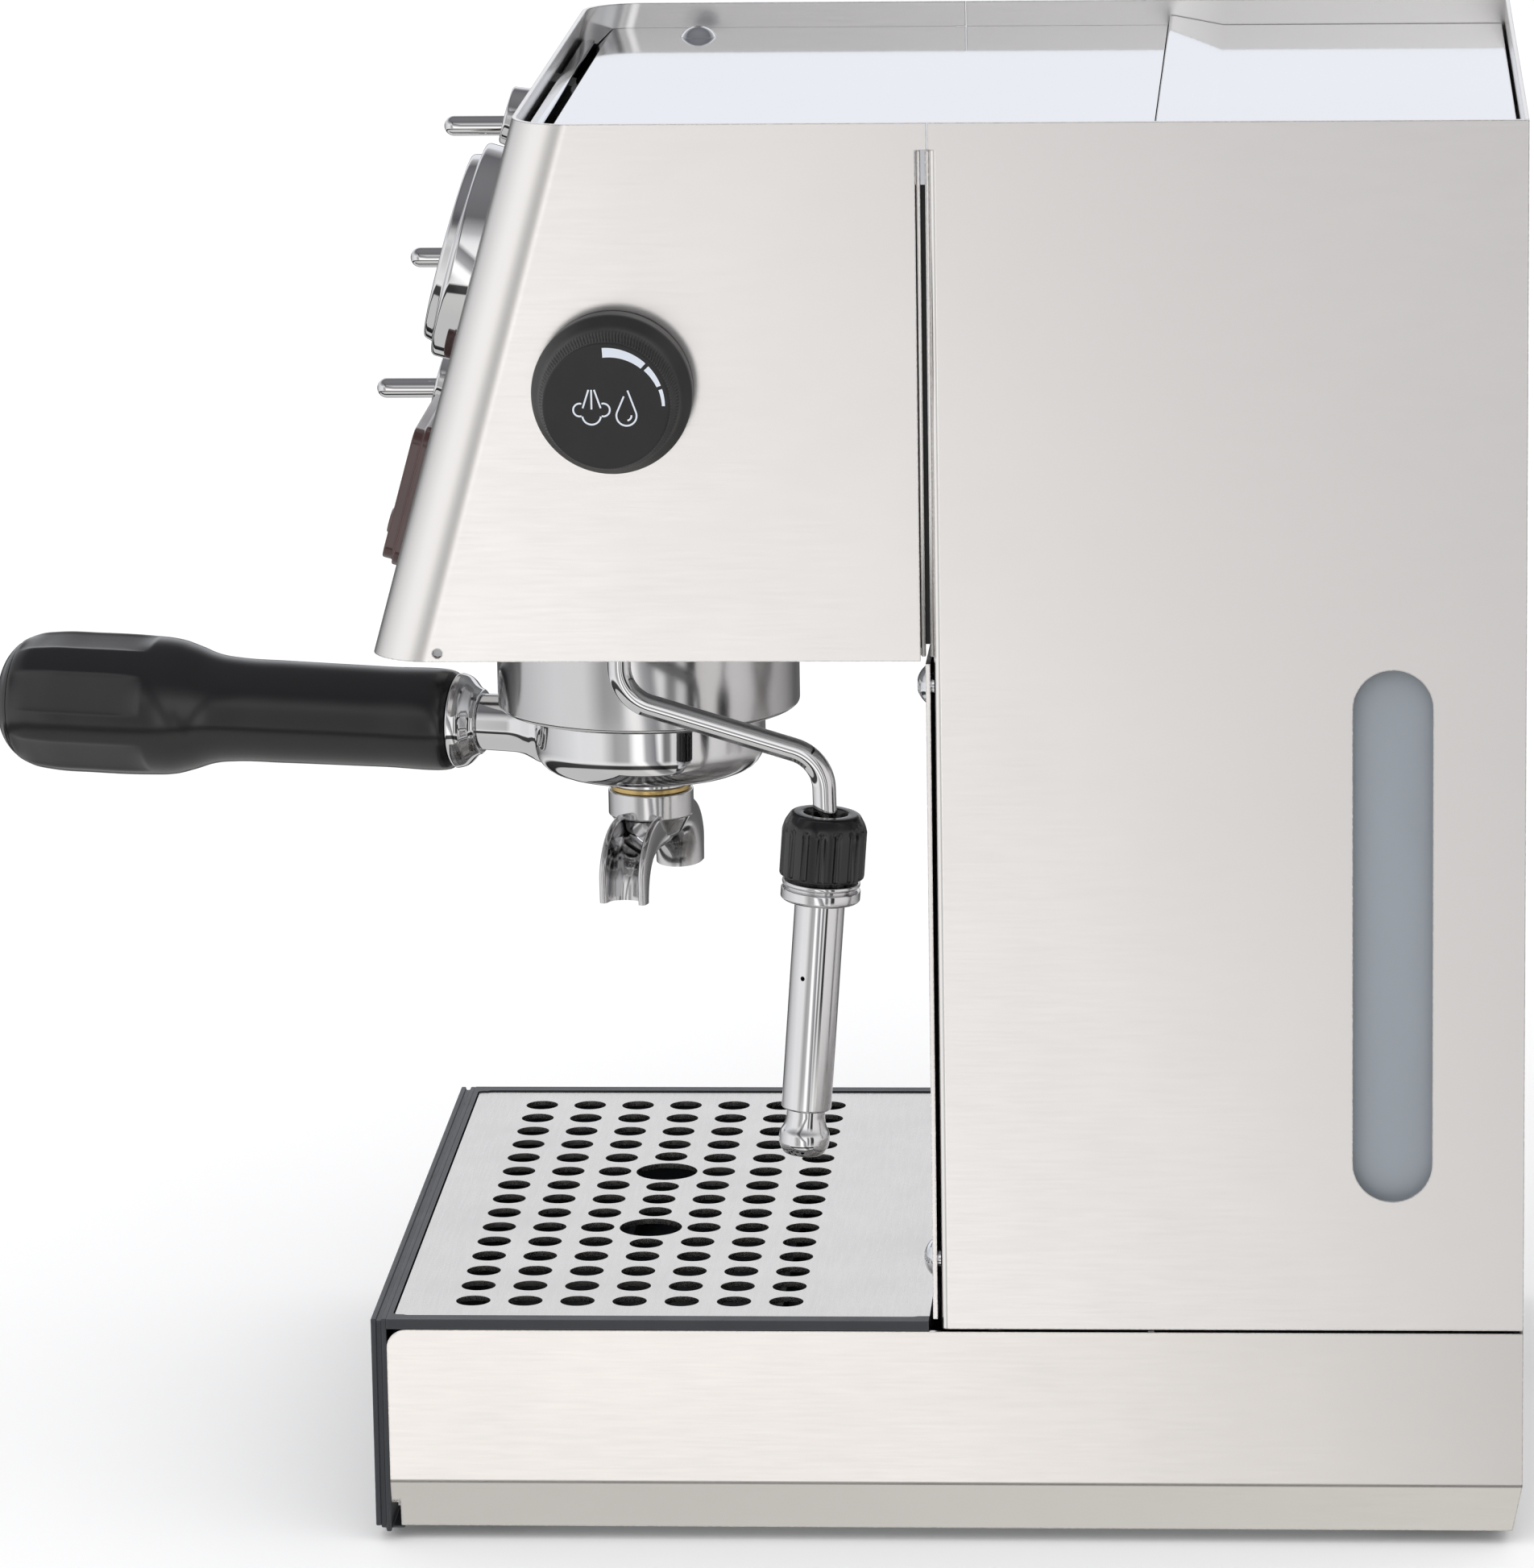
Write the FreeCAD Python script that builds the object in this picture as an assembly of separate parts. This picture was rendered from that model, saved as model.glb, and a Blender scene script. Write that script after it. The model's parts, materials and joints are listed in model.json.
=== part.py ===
import FreeCAD, Part
import math
import os

V = FreeCAD.Vector

# Espresso machine, all sizes in millimetres.
# Working frame: X = 0 on the middle plane (+X is the side with the steam knob), Y = 0 on the front
# edge of the steel base, Z = 0 on the resting surface. The finished parts are moved together, so
# that the origin ends at the middle of the machine's bounding box, on the resting surface.

# ---------------------------------------------------------------- driving dimensions
# casing
body_width = 230.0
body_depth = 297.0
body_height = 376.5
sheet = 1.2
foot_height = 9.0
foot_gap = 4.0
foot_radius = 9.0
foot_inset = 26.0
base_height = 54.5
base_bend_height = 13.0
base_bend_in = 2.5
base_corner_radius = 5.0
tower_front_y = 143.5
tower_seam_gap = 0.8
panel_gap = 0.9
head_clearance = 237.5
head_top_back = 39.0
head_bend_radius = 15.0
head_flange = 12.0
groove_width = 3.0
top_band = 7.0
window_width = 20.5
window_length = 141.0
window_y = 263.0
window_bottom = 94.0

# drip tray
fascia_thickness = 4.1
fascia_below_base = 1.0
fascia_curl = 3.2
rim_height = 2.9
rim_width = 4.5
bin_depth = 36.0
bin_wall = 1.8
bin_side_gap = 0.9
grate_thickness = 1.5
grate_gap = 0.4
hole_pitch = 13.8
hole_columns = 7
hole_rows = 15
hole_radius = 4.55
big_hole_radius = 8.5
big_hole_step = 2
hole_push = 1.4

# group head and portafilter
group_y = 62.5
group_wall = 4.5
group_bottom = 201.3
ear_reach = 4.5
ear_width = 18.0
ear_height = 4.0
ear_gap = 0.5
bowl_radius = 31.5
bowl_gap = 0.7
bowl_wall = 2.2
screen_step = 4.5
screen_gap = 0.6
gasket_height = 8.0
bolt_inset = 8.0
bowl_bottom = 183.0
bowl_top = 218.5
handle_turn = 12.5
handle_axis_z = 193.5
handle_length = 187.5
ferrule_stand_off = 6.4
ferrule_length = 7.6
cap_length = 14.0
grip_radius = 19.6
grip_neck_radius = 13.5
spout_spread = 25.0
spout_tip_z = 152.5
unlock_turn = 32.0

# steam
knob_y = 65.0
knob_z = 308.6
knob_skirt_radius = 20.6
knob_radius = 17.0
knob_reach = 24.0
knob_skirt_length = 4.6
knob_panel_gap = 0.6
spindle_radius = 3.0
wand_x = 78.0
wand_y = 61.5
wand_pipe_radius = 3.1
wand_grip_y = 116.0
wand_grip_top = 189.0
wand_grip_length = 17.0
wand_grip_radius = 11.2
wand_tube_radius = 6.6
wand_lean = 4.5
wand_tip_length = 12.2
wand_length = 80.5
gland_radius = 8.0
valve_x0 = 68.0
valve_x1 = 108.0

# front panel controls
gauge_x = 50.0
gauge_down = 46.0
gauge_radius = 28.8
gauge_height = 7.6
gauge_lens_radius = 22.5
gauge_lens_height = 3.0
gauge_body_radius = 23.0
gauge_body_depth = 22.0
needle_zero = 135.0
display_x = 50.0
display_down = 108.0
display_length = 38.0
display_width = 58.0
display_height = 5.6
display_window = (44.0, 16.0)
button_radius = 3.6
button_body = 3.3
button_spread = 12.0
button_low = -10.5
button_travel = 0.8
button_spare = 0.4
button_proud = 1.2
toggle_x = -50.0
toggle_first_down = 25.5
toggle_pitch = 37.8
toggle_count = 3
collar_radius = 10.4
collar_height = 10.5
collar_bore = 5.9
toggle_pivot = -1.0
lever_radius = 2.75
lever_reach = 27.0
lever_pin_radius = 0.9
lever_pin_length = 10.8
pin_fit = 0.06

# cup tray, lid and tank
tray_recess = 7.0
tray_screw_y = 71.6
lid_front_y = 202.5
lid_lip_height = 2.7
lid_gap = 0.6
tank_wall = 2.2
tank_left = -4.0
tank_gap = 3.5
tank_bottom = 66.0
tank_top = 352.0

# inside
boiler_radius = 33.0
boiler_flange_radius = 40.0
boiler_height = 60.0
screw_radius = 3.0
rear_screw_gap = 0.2
screw_head_radius = 5.2
element_radius = 3.0
element_spread = 14.0
pump_y = 177.0
pump_z = 112.0
pump_outlet_x = 44.0
feed_x = 58.0
deck_drop = 12.0
inlet_x = -45.0
inlet_z = 31.5
inlet_half = 14.0

# ---------------------------------------------------------------- derived places
half_width = body_width / 2.0
base_bottom = foot_gap
base_top = base_bottom + base_height
tower_bottom = base_top + tower_seam_gap
rim_top = base_top + rim_height
grate_top = rim_top - grate_gap
head_bottom = head_clearance
top_z = body_height
slope_angle = math.degrees(math.atan2(head_top_back, top_z - head_bottom))
slope_cos = math.cos(math.radians(slope_angle))
slope_sin = math.sin(math.radians(slope_angle))
tower_side_y = tower_front_y + sheet + panel_gap
head_rear_y = tower_side_y - groove_width + sheet
tray_z = top_z - tray_recess
inner_half = half_width - sheet
plate_z = base_bottom + foot_height - foot_gap
deck_z = base_top - deck_drop
ear_radius = bowl_radius + ear_reach
group_bore_radius = bowl_radius + bowl_gap
group_radius = ear_radius + ear_gap + group_wall
group_bolt_circle = group_radius - bolt_inset
screen_seat_radius = bowl_radius - screen_step
gasket_top = bowl_top + gasket_height
groove_low = bowl_top - ear_height - ear_gap
ferrule_start = group_radius + ferrule_stand_off
grip_start = ferrule_start + ferrule_length
axis_angle = -90.0 - handle_turn
axis_cos = math.cos(math.radians(axis_angle))
axis_sin = math.sin(math.radians(axis_angle))


# ---------------------------------------------------------------- shape helpers
def box(x0, x1, y0, y1, z0, z1):
    return Part.makeBox(x1 - x0, y1 - y0, z1 - z0, V(x0, y0, z0))


def cyl(radius, start, direction, length):
    return Part.makeCylinder(radius, length, V(*start), V(*direction))


def cone(radius_start, radius_end, start, direction, length):
    return Part.makeCone(radius_start, radius_end, length, V(*start), V(*direction))


def ring(outer, inner, start, direction, length):
    return cyl(outer, start, direction, length).cut(cyl(inner, start, direction, length))


def fuse(shapes):
    joined = shapes[0].fuse(list(shapes[1:])) if len(shapes) > 1 else shapes[0]
    return joined.removeSplitter()


def prism_x(points, x0, x1):
    """A closed Y-Z outline swept along X."""
    face = Part.Face(Part.makePolygon([V(x0, y, z) for y, z in points + points[:1]]))
    return face.extrude(V(x1 - x0, 0, 0))


def turned(profile, centre, direction=(0, 0, 1)):
    """A closed (radius, height) outline turned about an axis through centre."""
    wire = Part.makePolygon([V(r, 0, h) for r, h in profile + profile[:1]])
    solid = Part.Face(wire).revolve(V(0, 0, 0), V(0, 0, 1), 360)
    solid.Placement = FreeCAD.Placement(V(*centre), FreeCAD.Rotation(V(0, 0, 1), V(*direction)))
    return solid


def round_bar(points, radius, bend, hollow=0.0):
    """A round bar or tube through points, with a bend of the given radius at each inner point."""
    edges = []
    start = V(*points[0])
    for before, corner, after in zip(points, points[1:], points[2:]):
        corner = V(*corner)
        back = (V(*before) - corner).normalize()
        ahead = (V(*after) - corner).normalize()
        half_turn = (math.pi - back.getAngle(ahead)) / 2.0
        reach = bend * math.tan(half_turn)
        middle_way = (back + ahead).normalize()
        centre_way = bend / math.cos(half_turn)
        arc_start = corner + back * reach
        arc_end = corner + ahead * reach
        arc_middle = corner + middle_way * (centre_way - bend)
        edges.append(Part.makeLine(start, arc_start))
        edges.append(Part.Arc(arc_start, arc_middle, arc_end).toShape())
        start = arc_end
    edges.append(Part.makeLine(start, V(*points[-1])))
    path = Part.Wire(edges)
    way = V(*points[1]) - V(*points[0])
    shapes = []
    for size in (radius, hollow):
        if size > 0:
            circle = Part.Wire([Part.makeCircle(size, V(*points[0]), way)])
            shapes.append(path.makePipeShell([circle], True, False))
    return shapes[0].cut(shapes[1]) if len(shapes) > 1 else shapes[0]


def round_corners(shape, radius, chosen):
    edges = [e for e in shape.Edges if chosen(e)]
    return shape.makeFillet(radius, edges)


def upright(edge):
    """True for a straight edge that runs along Z."""
    start, end = edge.Vertexes[0].Point, edge.Vertexes[-1].Point
    return abs(start.x - end.x) < 1e-6 and abs(start.y - end.y) < 1e-6 and abs(start.z - end.z) > 1e-3


def rounded_box(x0, x1, y0, y1, z0, z1, radius):
    return round_corners(box(x0, x1, y0, y1, z0, z1), radius, upright)


def stadium(x, y, z, width, length, depth):
    """A slot cutter through a side panel: round ends, length along Z, depth along X."""
    half = width / 2.0
    low = cyl(half, (x, y, z + half), (1, 0, 0), depth)
    high = cyl(half, (x, y, z + length - half), (1, 0, 0), depth)
    return low.fuse([high, box(x, x + depth, y - half, y + half, z + half, z + length - half)])


def dome_screw(head_at, direction, length):
    """A dome-head screw: head_at is the seat's centre, direction points out of the head."""
    way = V(*direction)
    seat = V(*head_at)
    head_height = screw_head_radius * 0.55
    ball_radius = (screw_head_radius ** 2 + head_height ** 2) / (2.0 * head_height)
    ball = Part.makeSphere(ball_radius, seat + way * (head_height - ball_radius))
    head = ball.common(Part.makeCylinder(screw_head_radius, head_height, seat, way))
    drive = Part.makeCylinder(1.6, 1.6, seat + way * (head_height - 1.2), way)
    shank = Part.makeCylinder(screw_radius, length, seat - way * length, way)
    return head.fuse(shank).cut(drive)


def flush_screw(head_at, direction, length):
    """A countersunk screw for one sheet: head_at is on the outer face,
    direction points out of the head."""
    way = V(*direction)
    face = V(*head_at)
    head = Part.makeCone(screw_radius, screw_radius + sheet, sheet, face - way * sheet, way)
    shank = Part.makeCylinder(screw_radius, length, face - way * length, way)
    drive = Part.makeCylinder(1.6, 1.2, face - way * 0.9, way)
    return head.fuse(shank).cut(drive)


def group_of(shapes):
    return Part.makeCompound(shapes)


# ---------------------------------------------------------------- the sloping front panel's frame
def on_panel(x, down, out=0.0):
    """A point on the front panel: down along the slope from the top edge, out along the normal."""
    y = head_top_back - down * slope_sin - out * slope_cos
    z = top_z - down * slope_cos + out * slope_sin
    return (x, y, z)


panel_in = (0.0, slope_cos, -slope_sin)


def to_panel(shape, x, down, out=0.0):
    """Stand a piece, drawn with +Z as its outward axis and +Y as up, on the front panel."""
    turn = FreeCAD.Rotation(V(1, 0, 0), 90.0 - slope_angle)
    shape.Placement = FreeCAD.Placement(V(*on_panel(x, down, out)), turn).multiply(shape.Placement)
    return shape


# ---------------------------------------------------------------- handle's frame
def along_handle(distance, side=0.0, z=handle_axis_z):
    """A point at a distance from the group's axis along the handle, side to its +X hand."""
    return (distance * axis_cos - side * axis_sin, group_y + distance * axis_sin + side * axis_cos, z)


def turn_handle(shape):
    """Turn a piece drawn with its handle along -Y to the handle's resting angle."""
    shape.rotate(V(0, group_y, 0), V(0, 0, 1), -handle_turn)
    return shape


# ---------------------------------------------------------------- casing
def base_block(inset):
    """The base's outline block: upright walls over an inward-leaning skirt."""
    w = half_width - inset
    rear = body_depth - inset
    bend_z = base_bottom + base_bend_height
    upper = box(-w, w, inset, rear, bend_z, base_top)
    low_w = w - base_bend_in
    low_rear = rear - base_bend_in
    lower_face = Part.makePolygon([V(-low_w, inset, base_bottom), V(low_w, inset, base_bottom),
                                   V(low_w, low_rear, base_bottom), V(-low_w, low_rear, base_bottom),
                                   V(-low_w, inset, base_bottom)])
    upper_face = Part.makePolygon([V(-w, inset, bend_z), V(w, inset, bend_z), V(w, rear, bend_z),
                                   V(-w, rear, bend_z), V(-w, inset, bend_z)])
    lower = Part.makeLoft([lower_face, upper_face], True, True)
    return upper.fuse(lower).removeSplitter()


def make_base_housing():
    """Side and rear walls of the base in folded sheet, open in front, on top and below."""
    shell = base_block(0).cut(base_block(sheet))
    shell = shell.cut(box(-inner_half, inner_half, -1, 2 * sheet, 0, top_z))
    shell = shell.cut(box(-inner_half, inner_half, 0, body_depth - sheet, base_top - 1, top_z))
    floor_cut = box(-inner_half + base_bend_in, inner_half - base_bend_in, -1,
                    body_depth - sheet - base_bend_in, 0, base_bottom + 1)
    shell = shell.cut(floor_cut)
    corner = box(-half_width - 1, half_width + 1, -1, base_corner_radius, base_top - base_corner_radius,
                 base_top + 1)
    round_off = cyl(base_corner_radius, (-half_width - 1, base_corner_radius,
                                         base_top - base_corner_radius),
                    (1, 0, 0), body_width + 2)
    shell = shell.cut(corner.cut(round_off))
    ledge = box(-inner_half, inner_half, tower_side_y + sheet, tower_side_y + 12, base_top - sheet,
                base_top)
    shell = shell.fuse(ledge)
    inlet_hole = box(inlet_x - inlet_half, inlet_x + inlet_half, body_depth - 5, body_depth + 5,
                     inlet_z - inlet_half, inlet_z + inlet_half)
    return shell.cut(inlet_hole).removeSplitter()


def foot_places():
    low = foot_inset
    high = body_depth - foot_inset
    return [(sx * (half_width - foot_inset), y) for sx in (-1, 1) for y in (low, high)]


def make_bottom_plate():
    """Flat floor of the base with turned-up edges, carried by the feet."""
    w = inner_half - base_bend_in - 0.2
    rear = body_depth - sheet - base_bend_in - 0.2
    plate = box(-w, w, 1.5, rear, plate_z, plate_z + sheet)
    sides = [box(s * w - (sheet if s > 0 else 0), s * w + (0 if s > 0 else sheet), 1.5, rear, plate_z,
                 plate_z + 7) for s in (-1, 1)]
    back = box(-w, w, rear - sheet, rear, plate_z, plate_z + 7)
    plate = fuse([plate, back] + sides)
    for x, y in foot_places():
        plate = plate.cut(cyl(2.2, (x, y, plate_z - 1), (0, 0, 1), 5))
    for i in range(9):
        slot_y = tower_side_y + 20 + i * 12
        plate = plate.cut(box(-45, 45, slot_y, slot_y + 4, plate_z - 1, plate_z + 3))
    return plate


def make_feet():
    feet = []
    for x, y in foot_places():
        foot = cone(foot_radius, foot_radius - 1.2, (x, y, plate_z), (0, 0, -1), plate_z)
        foot = foot.cut(cyl(4.2, (x, y, 0), (0, 0, 1), 3.5))
        foot = foot.cut(cyl(2.1, (x, y, 0), (0, 0, 1), plate_z + 1))
        feet.append(foot)
    return group_of(feet)


def foot_screws():
    screws = []
    for x, y in foot_places():
        head = cyl(3.9, (x, y, 1.2), (0, 0, 1), 2.3)
        shank = cyl(1.95, (x, y, 3.5), (0, 0, 1), plate_z + sheet + 4 - 3.5)
        slot = box(x - 3, x + 3, y - 0.5, y + 0.5, 1, 2.1)
        nut = cyl(3.6, (x, y, plate_z + sheet), (0, 0, 1), 3.0)
        screws.append(fuse([head, shank, nut]).cut(slot))
    return screws


def tower_outer(inset):
    return box(-half_width + inset, half_width - inset, tower_side_y + inset, body_depth - inset,
               tower_bottom, top_z)


def make_tower_shell():
    """Side walls and front wall of the tower folded from one sheet; the rear is open."""
    shell = tower_outer(0).cut(box(-inner_half, inner_half, tower_side_y + sheet, body_depth + 1, 0,
                                   top_z + 1))
    shell = round_corners(shell, sheet * 1.6, lambda e: upright(e) and e.Vertexes[0].Point.y
                          < tower_side_y + 0.01 and abs(e.Vertexes[0].Point.x) > half_width - 0.01)
    opening_half = inner_half - 13
    shell = shell.cut(box(-opening_half, opening_half, 0, tower_side_y + 5, head_bottom - 2, top_z + 1))
    shell = shell.cut(box(-inner_half, inner_half, 0, tower_side_y + 5, tray_z - 14, top_z + 1))
    rear_flange = [box(s * inner_half - (10 if s > 0 else 0), s * inner_half + (0 if s > 0 else 10),
                       body_depth - 2 * sheet - 0.1, body_depth - sheet - 0.1, tower_bottom, tray_z - 12)
                   for s in (-1, 1)]
    shell = fuse([shell] + rear_flange)
    shell = shell.cut(box(-half_width - 1, half_width + 1, tower_side_y - 1,
                          tower_side_y + 2.2, top_z - top_band, top_z + 1))
    band = [box(s * half_width - (sheet if s > 0 else 0), s * half_width + (0 if s > 0 else sheet),
                head_rear_y + 0.2 + groove_width / 2, tower_side_y + 2.2, top_z - top_band, top_z)
            for s in (-1, 1)]
    shell = fuse([shell] + band)
    window = stadium(half_width - 5, window_y, window_bottom, window_width, window_length, 10)
    shell = shell.cut(window)
    for s in (-1, 1):
        for z in rear_screw_levels():
            shell = shell.cut(cyl(screw_radius + 0.2, (s * (inner_half - 5), body_depth - 5, z),
                                  (0, 1, 0), 8))
    for x, z in front_screw_places():
        shell = shell.cut(cyl(screw_radius + 0.15, (x, tower_side_y - 2, z), (0, 1, 0), 6))
    return shell


def rear_screw_levels():
    return [tower_bottom + 16, (tower_bottom + tray_z) / 2.0, tray_z - 30]


def make_rear_panel():
    """Flat rear cover with rows of vent slots, set between the tower's side walls."""
    panel = box(-inner_half + 0.1, inner_half - 0.1, body_depth - sheet, body_depth, tower_bottom, top_z)
    for row in range(8):
        for side in (-1, 1):
            x = side * 48
            z = tower_bottom + 190 + row * 9
            panel = panel.cut(box(x - 30, x + 30, body_depth - 5, body_depth + 5, z, z + 3))
    narrow = screw_radius + rear_screw_gap - 1
    for s in (-1, 1):
        for z in rear_screw_levels():
            start = (s * (inner_half - 5), body_depth - sheet - 1, z)
            panel = panel.cut(cone(narrow, narrow + sheet + 2, start, (0, 1, 0), sheet + 2))
    return panel


def front_screw_places():
    x = half_width - 12
    return [(s * x, z) for s in (-1, 1) for z in (tower_bottom + 16, head_bottom - 8.5)]


def make_tower_front():
    """Flat front cover of the tower, standing a little proud of the side walls' returns."""
    plate = box(-half_width + 0.6, half_width - 0.6, tower_front_y, tower_front_y + sheet,
                grate_top + 0.8, head_bottom - 0.8)
    for x, z in front_screw_places():
        plate = plate.cut(cyl(screw_radius + 0.15, (x, tower_front_y - 2, z), (0, 1, 0), 5))
    return plate


def make_dome_screws():
    """The casing's screws: dome heads on the tower front and cup tray, flush ones in the rear panel."""
    front = [dome_screw((x, tower_front_y, z), (0, -1, 0), 2 * sheet + panel_gap + 2.0)
             for x, z in front_screw_places()]
    top = [dome_screw((x, y, tray_z), (0, 0, 1), 6) for x, y in tray_screw_places()]
    rear = [flush_screw((s * (inner_half - 5), body_depth, z), (0, 1, 0), 4.5)
            for s in (-1, 1) for z in rear_screw_levels()]
    return group_of(front + top + rear)


def slope_y(z):
    """Y of the front panel's outer face at a height."""
    return head_top_back - (top_z - z) * slope_sin / slope_cos


def head_block(inset, bottom, top):
    """A slice of the head's block: sloping front with two large bends, upright sides."""
    w = half_width - inset
    shift = inset / slope_cos
    low_z = head_bottom - 5.0
    high_z = top_z + 5.0
    outline = [(slope_y(low_z) + shift, low_z), (head_rear_y, low_z), (head_rear_y, high_z),
               (slope_y(high_z) + shift, high_z)]
    block = prism_x(outline, -w, w)

    def front_bend(edge):
        start, end = edge.Vertexes[0].Point, edge.Vertexes[-1].Point
        return (abs(start.x - end.x) < 1e-6 and abs(start.z - end.z) > 0.01
                and abs(start.y - end.y) > 0.01)

    block = round_corners(block, head_bend_radius - inset, front_bend)
    return block.common(box(-w - 1, w + 1, -50, head_rear_y + 1, bottom, top))


def make_head_shell():
    """Front panel and both side panels of the head, folded from one sheet round two large bends."""
    shell = head_block(0, head_bottom, top_z).cut(head_block(sheet, head_bottom - 1, top_z + 1))
    shell = shell.cut(box(-inner_half, inner_half, head_rear_y - 2, head_rear_y + 2, 0, top_z + 1))
    groove = box(-half_width - 1, half_width + 1, head_rear_y - groove_width / 2, head_rear_y + 1,
                 head_bottom - 1, top_z - top_band)
    shell = shell.cut(groove)
    band = [box(s * half_width - (sheet if s > 0 else 0), s * half_width + (0 if s > 0 else sheet),
                head_rear_y - 1, head_rear_y + groove_width / 2, top_z - top_band, top_z) for s in (-1,
                                                                                                    1)]
    flange = head_block(sheet, head_bottom, head_bottom + sheet)
    flange_hole = box(-inner_half + head_flange, inner_half - head_flange,
                      head_flange + 2, head_rear_y + 5, 0, top_z)
    flange = flange.cut(flange_hole).cut(box(-half_width, half_width, head_rear_y - 2, head_rear_y + 5,
                                             0, top_z))
    shell = fuse([shell, flange] + band)
    shell = shell.cut(cyl(spindle_radius + 2.5, (half_width - 5, knob_y, knob_z), (1, 0, 0), 10))
    shell = shell.cut(cyl(gauge_body_radius + 0.4, on_panel(gauge_x, gauge_down, 10), panel_in, 20))
    hole = box(-display_width / 2 + 3, display_width / 2 - 3, -display_length / 2 + 3,
               display_length / 2 - 3, -6, 6)
    shell = shell.cut(to_panel(hole, display_x, display_down))
    for i in range(toggle_count):
        shell = shell.cut(cyl(6.2, on_panel(toggle_x, toggle_down(i), 10), panel_in, 20))
    notch_y = slope_y(head_bottom) + head_bend_radius
    for s in (-1, 1):
        shell = shell.cut(cyl(1.3, (s * half_width - 2, notch_y + 3, head_bottom + 2.2), (1, 0, 0), 4))
    return shell


def toggle_down(i):
    return toggle_first_down + i * toggle_pitch


def make_head_floor():
    """Thick plate inside the head that carries the group and the wand's gland."""
    z = head_bottom + sheet + 0.1
    floor = head_block(sheet + 0.2, z, z + 2.0)
    floor = floor.cut(box(-half_width, half_width, head_rear_y - 1, head_rear_y + 5, 0, top_z))
    back = box(-inner_half + 14, inner_half - 14, head_rear_y - 2, lid_front_y - 6, z, z + 2.0)
    floor = fuse([floor, back])
    floor = floor.cut(cyl(group_bolt_circle - 5, (0, group_y, z - 1), (0, 0, 1), 5))
    for x, y in group_bolt_places():
        floor = floor.cut(cyl(2.7, (x, y, z - 1), (0, 0, 1), 5))
    floor = floor.cut(cyl(4.0, (feed_x, pump_y, z - 1), (0, 0, 1), 5))
    return floor.cut(cyl(gland_radius - 1.5, (wand_x, wand_y, z - 1), (0, 0, 1), 5))


def group_bolt_places():
    return [(group_bolt_circle * math.cos(math.radians(a)), group_y + group_bolt_circle
             * math.sin(math.radians(a))) for a in (45, 135, 225, 315)]


# ---------------------------------------------------------------- top
def make_cup_tray():
    """Recessed cup-warming plate with turned-down front edge and rear edge."""
    w = inner_half - 0.3
    front = head_top_back + sheet + 2.2
    plate = box(-w, w, front + 4, lid_front_y - lid_gap, tray_z - sheet, tray_z)
    bevel = prism_x([(front, tray_z - 4 - sheet), (front + 4, tray_z - sheet), (front + 4, tray_z),
                     (front, tray_z - 4)], -w, w)
    rear_drop = box(-w, w, lid_front_y - lid_gap - sheet, lid_front_y - lid_gap, tray_z - 12, tray_z)
    side_drop = [box(s * w - (sheet if s > 0 else 0), s * w + (0 if s > 0 else sheet), front + 4,
                     lid_front_y - lid_gap, tray_z - 9, tray_z) for s in (-1, 1)]
    plate = fuse([plate, bevel, rear_drop] + side_drop)
    room = head_block(sheet + 0.3, tray_z - 20, tray_z + 1).fuse(
        box(-w, w, head_rear_y - 10, body_depth, tray_z - 20, tray_z + 1))
    plate = plate.common(room)
    for x, y in tray_screw_places():
        plate = plate.cut(cyl(screw_radius + 0.15, (x, y, tray_z - 3), (0, 0, 1), 5))
    return plate


def tray_screw_places():
    return [(s * (inner_half - 17), tray_screw_y) for s in (-1, 1)]


def make_tank_lid():
    """Rear lid over the water tank, with a raised lip along its front edge to lift it by."""
    w = inner_half - 0.8
    rear = body_depth - sheet - 0.8
    lip = 15.0
    outline = [(lid_front_y, tray_z - 6), (lid_front_y, tray_z + lid_lip_height),
               (lid_front_y + 1.2, tray_z + lid_lip_height), (lid_front_y + lip, tray_z),
               (rear, tray_z), (rear, tray_z - 6), (rear - sheet, tray_z - 6),
               (rear - sheet, tray_z - sheet),
               (lid_front_y + lip, tray_z - sheet), (lid_front_y + sheet, tray_z + lid_lip_height - 1.5),
               (lid_front_y + sheet, tray_z - 6)]
    lid = prism_x(outline, -w, w)
    rails = [box(s * 70 - 2, s * 70 + 2, lid_front_y + lip, rear - 5, tray_z - 5, tray_z - sheet)
             for s in (-1, 1)]
    return fuse([lid] + rails)


def tank_box(inset, bottom_inset, top):
    x1 = inner_half - tank_gap
    y0 = lid_front_y + 5
    y1 = body_depth - 2 * sheet - tank_gap - 0.6
    return rounded_box(tank_left + inset, x1 - inset, y0 + inset, y1 - inset, tank_bottom + bottom_inset,
                       top, 9.0 - inset)


def tank_middle():
    x1 = inner_half - tank_gap
    y1 = body_depth - 2 * sheet - tank_gap - 0.6
    return ((tank_left + x1) / 2.0, (lid_front_y + 5 + y1) / 2.0)


def make_water_tank():
    """Open-topped clear tank with a rolled rim and an outlet boss below."""
    tank = tank_box(0, 0, tank_top).cut(tank_box(tank_wall, tank_wall, tank_top + 1))
    rim = tank_box(-1.6, tank_top - tank_bottom - 4, tank_top).cut(tank_box(0.5, 0, tank_top + 1))
    x, y = tank_middle()
    tank = fuse([tank, rim])
    return tank.cut(cyl(8.0, (x, y, tank_bottom - 1), (0, 0, 1), 5))


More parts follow.
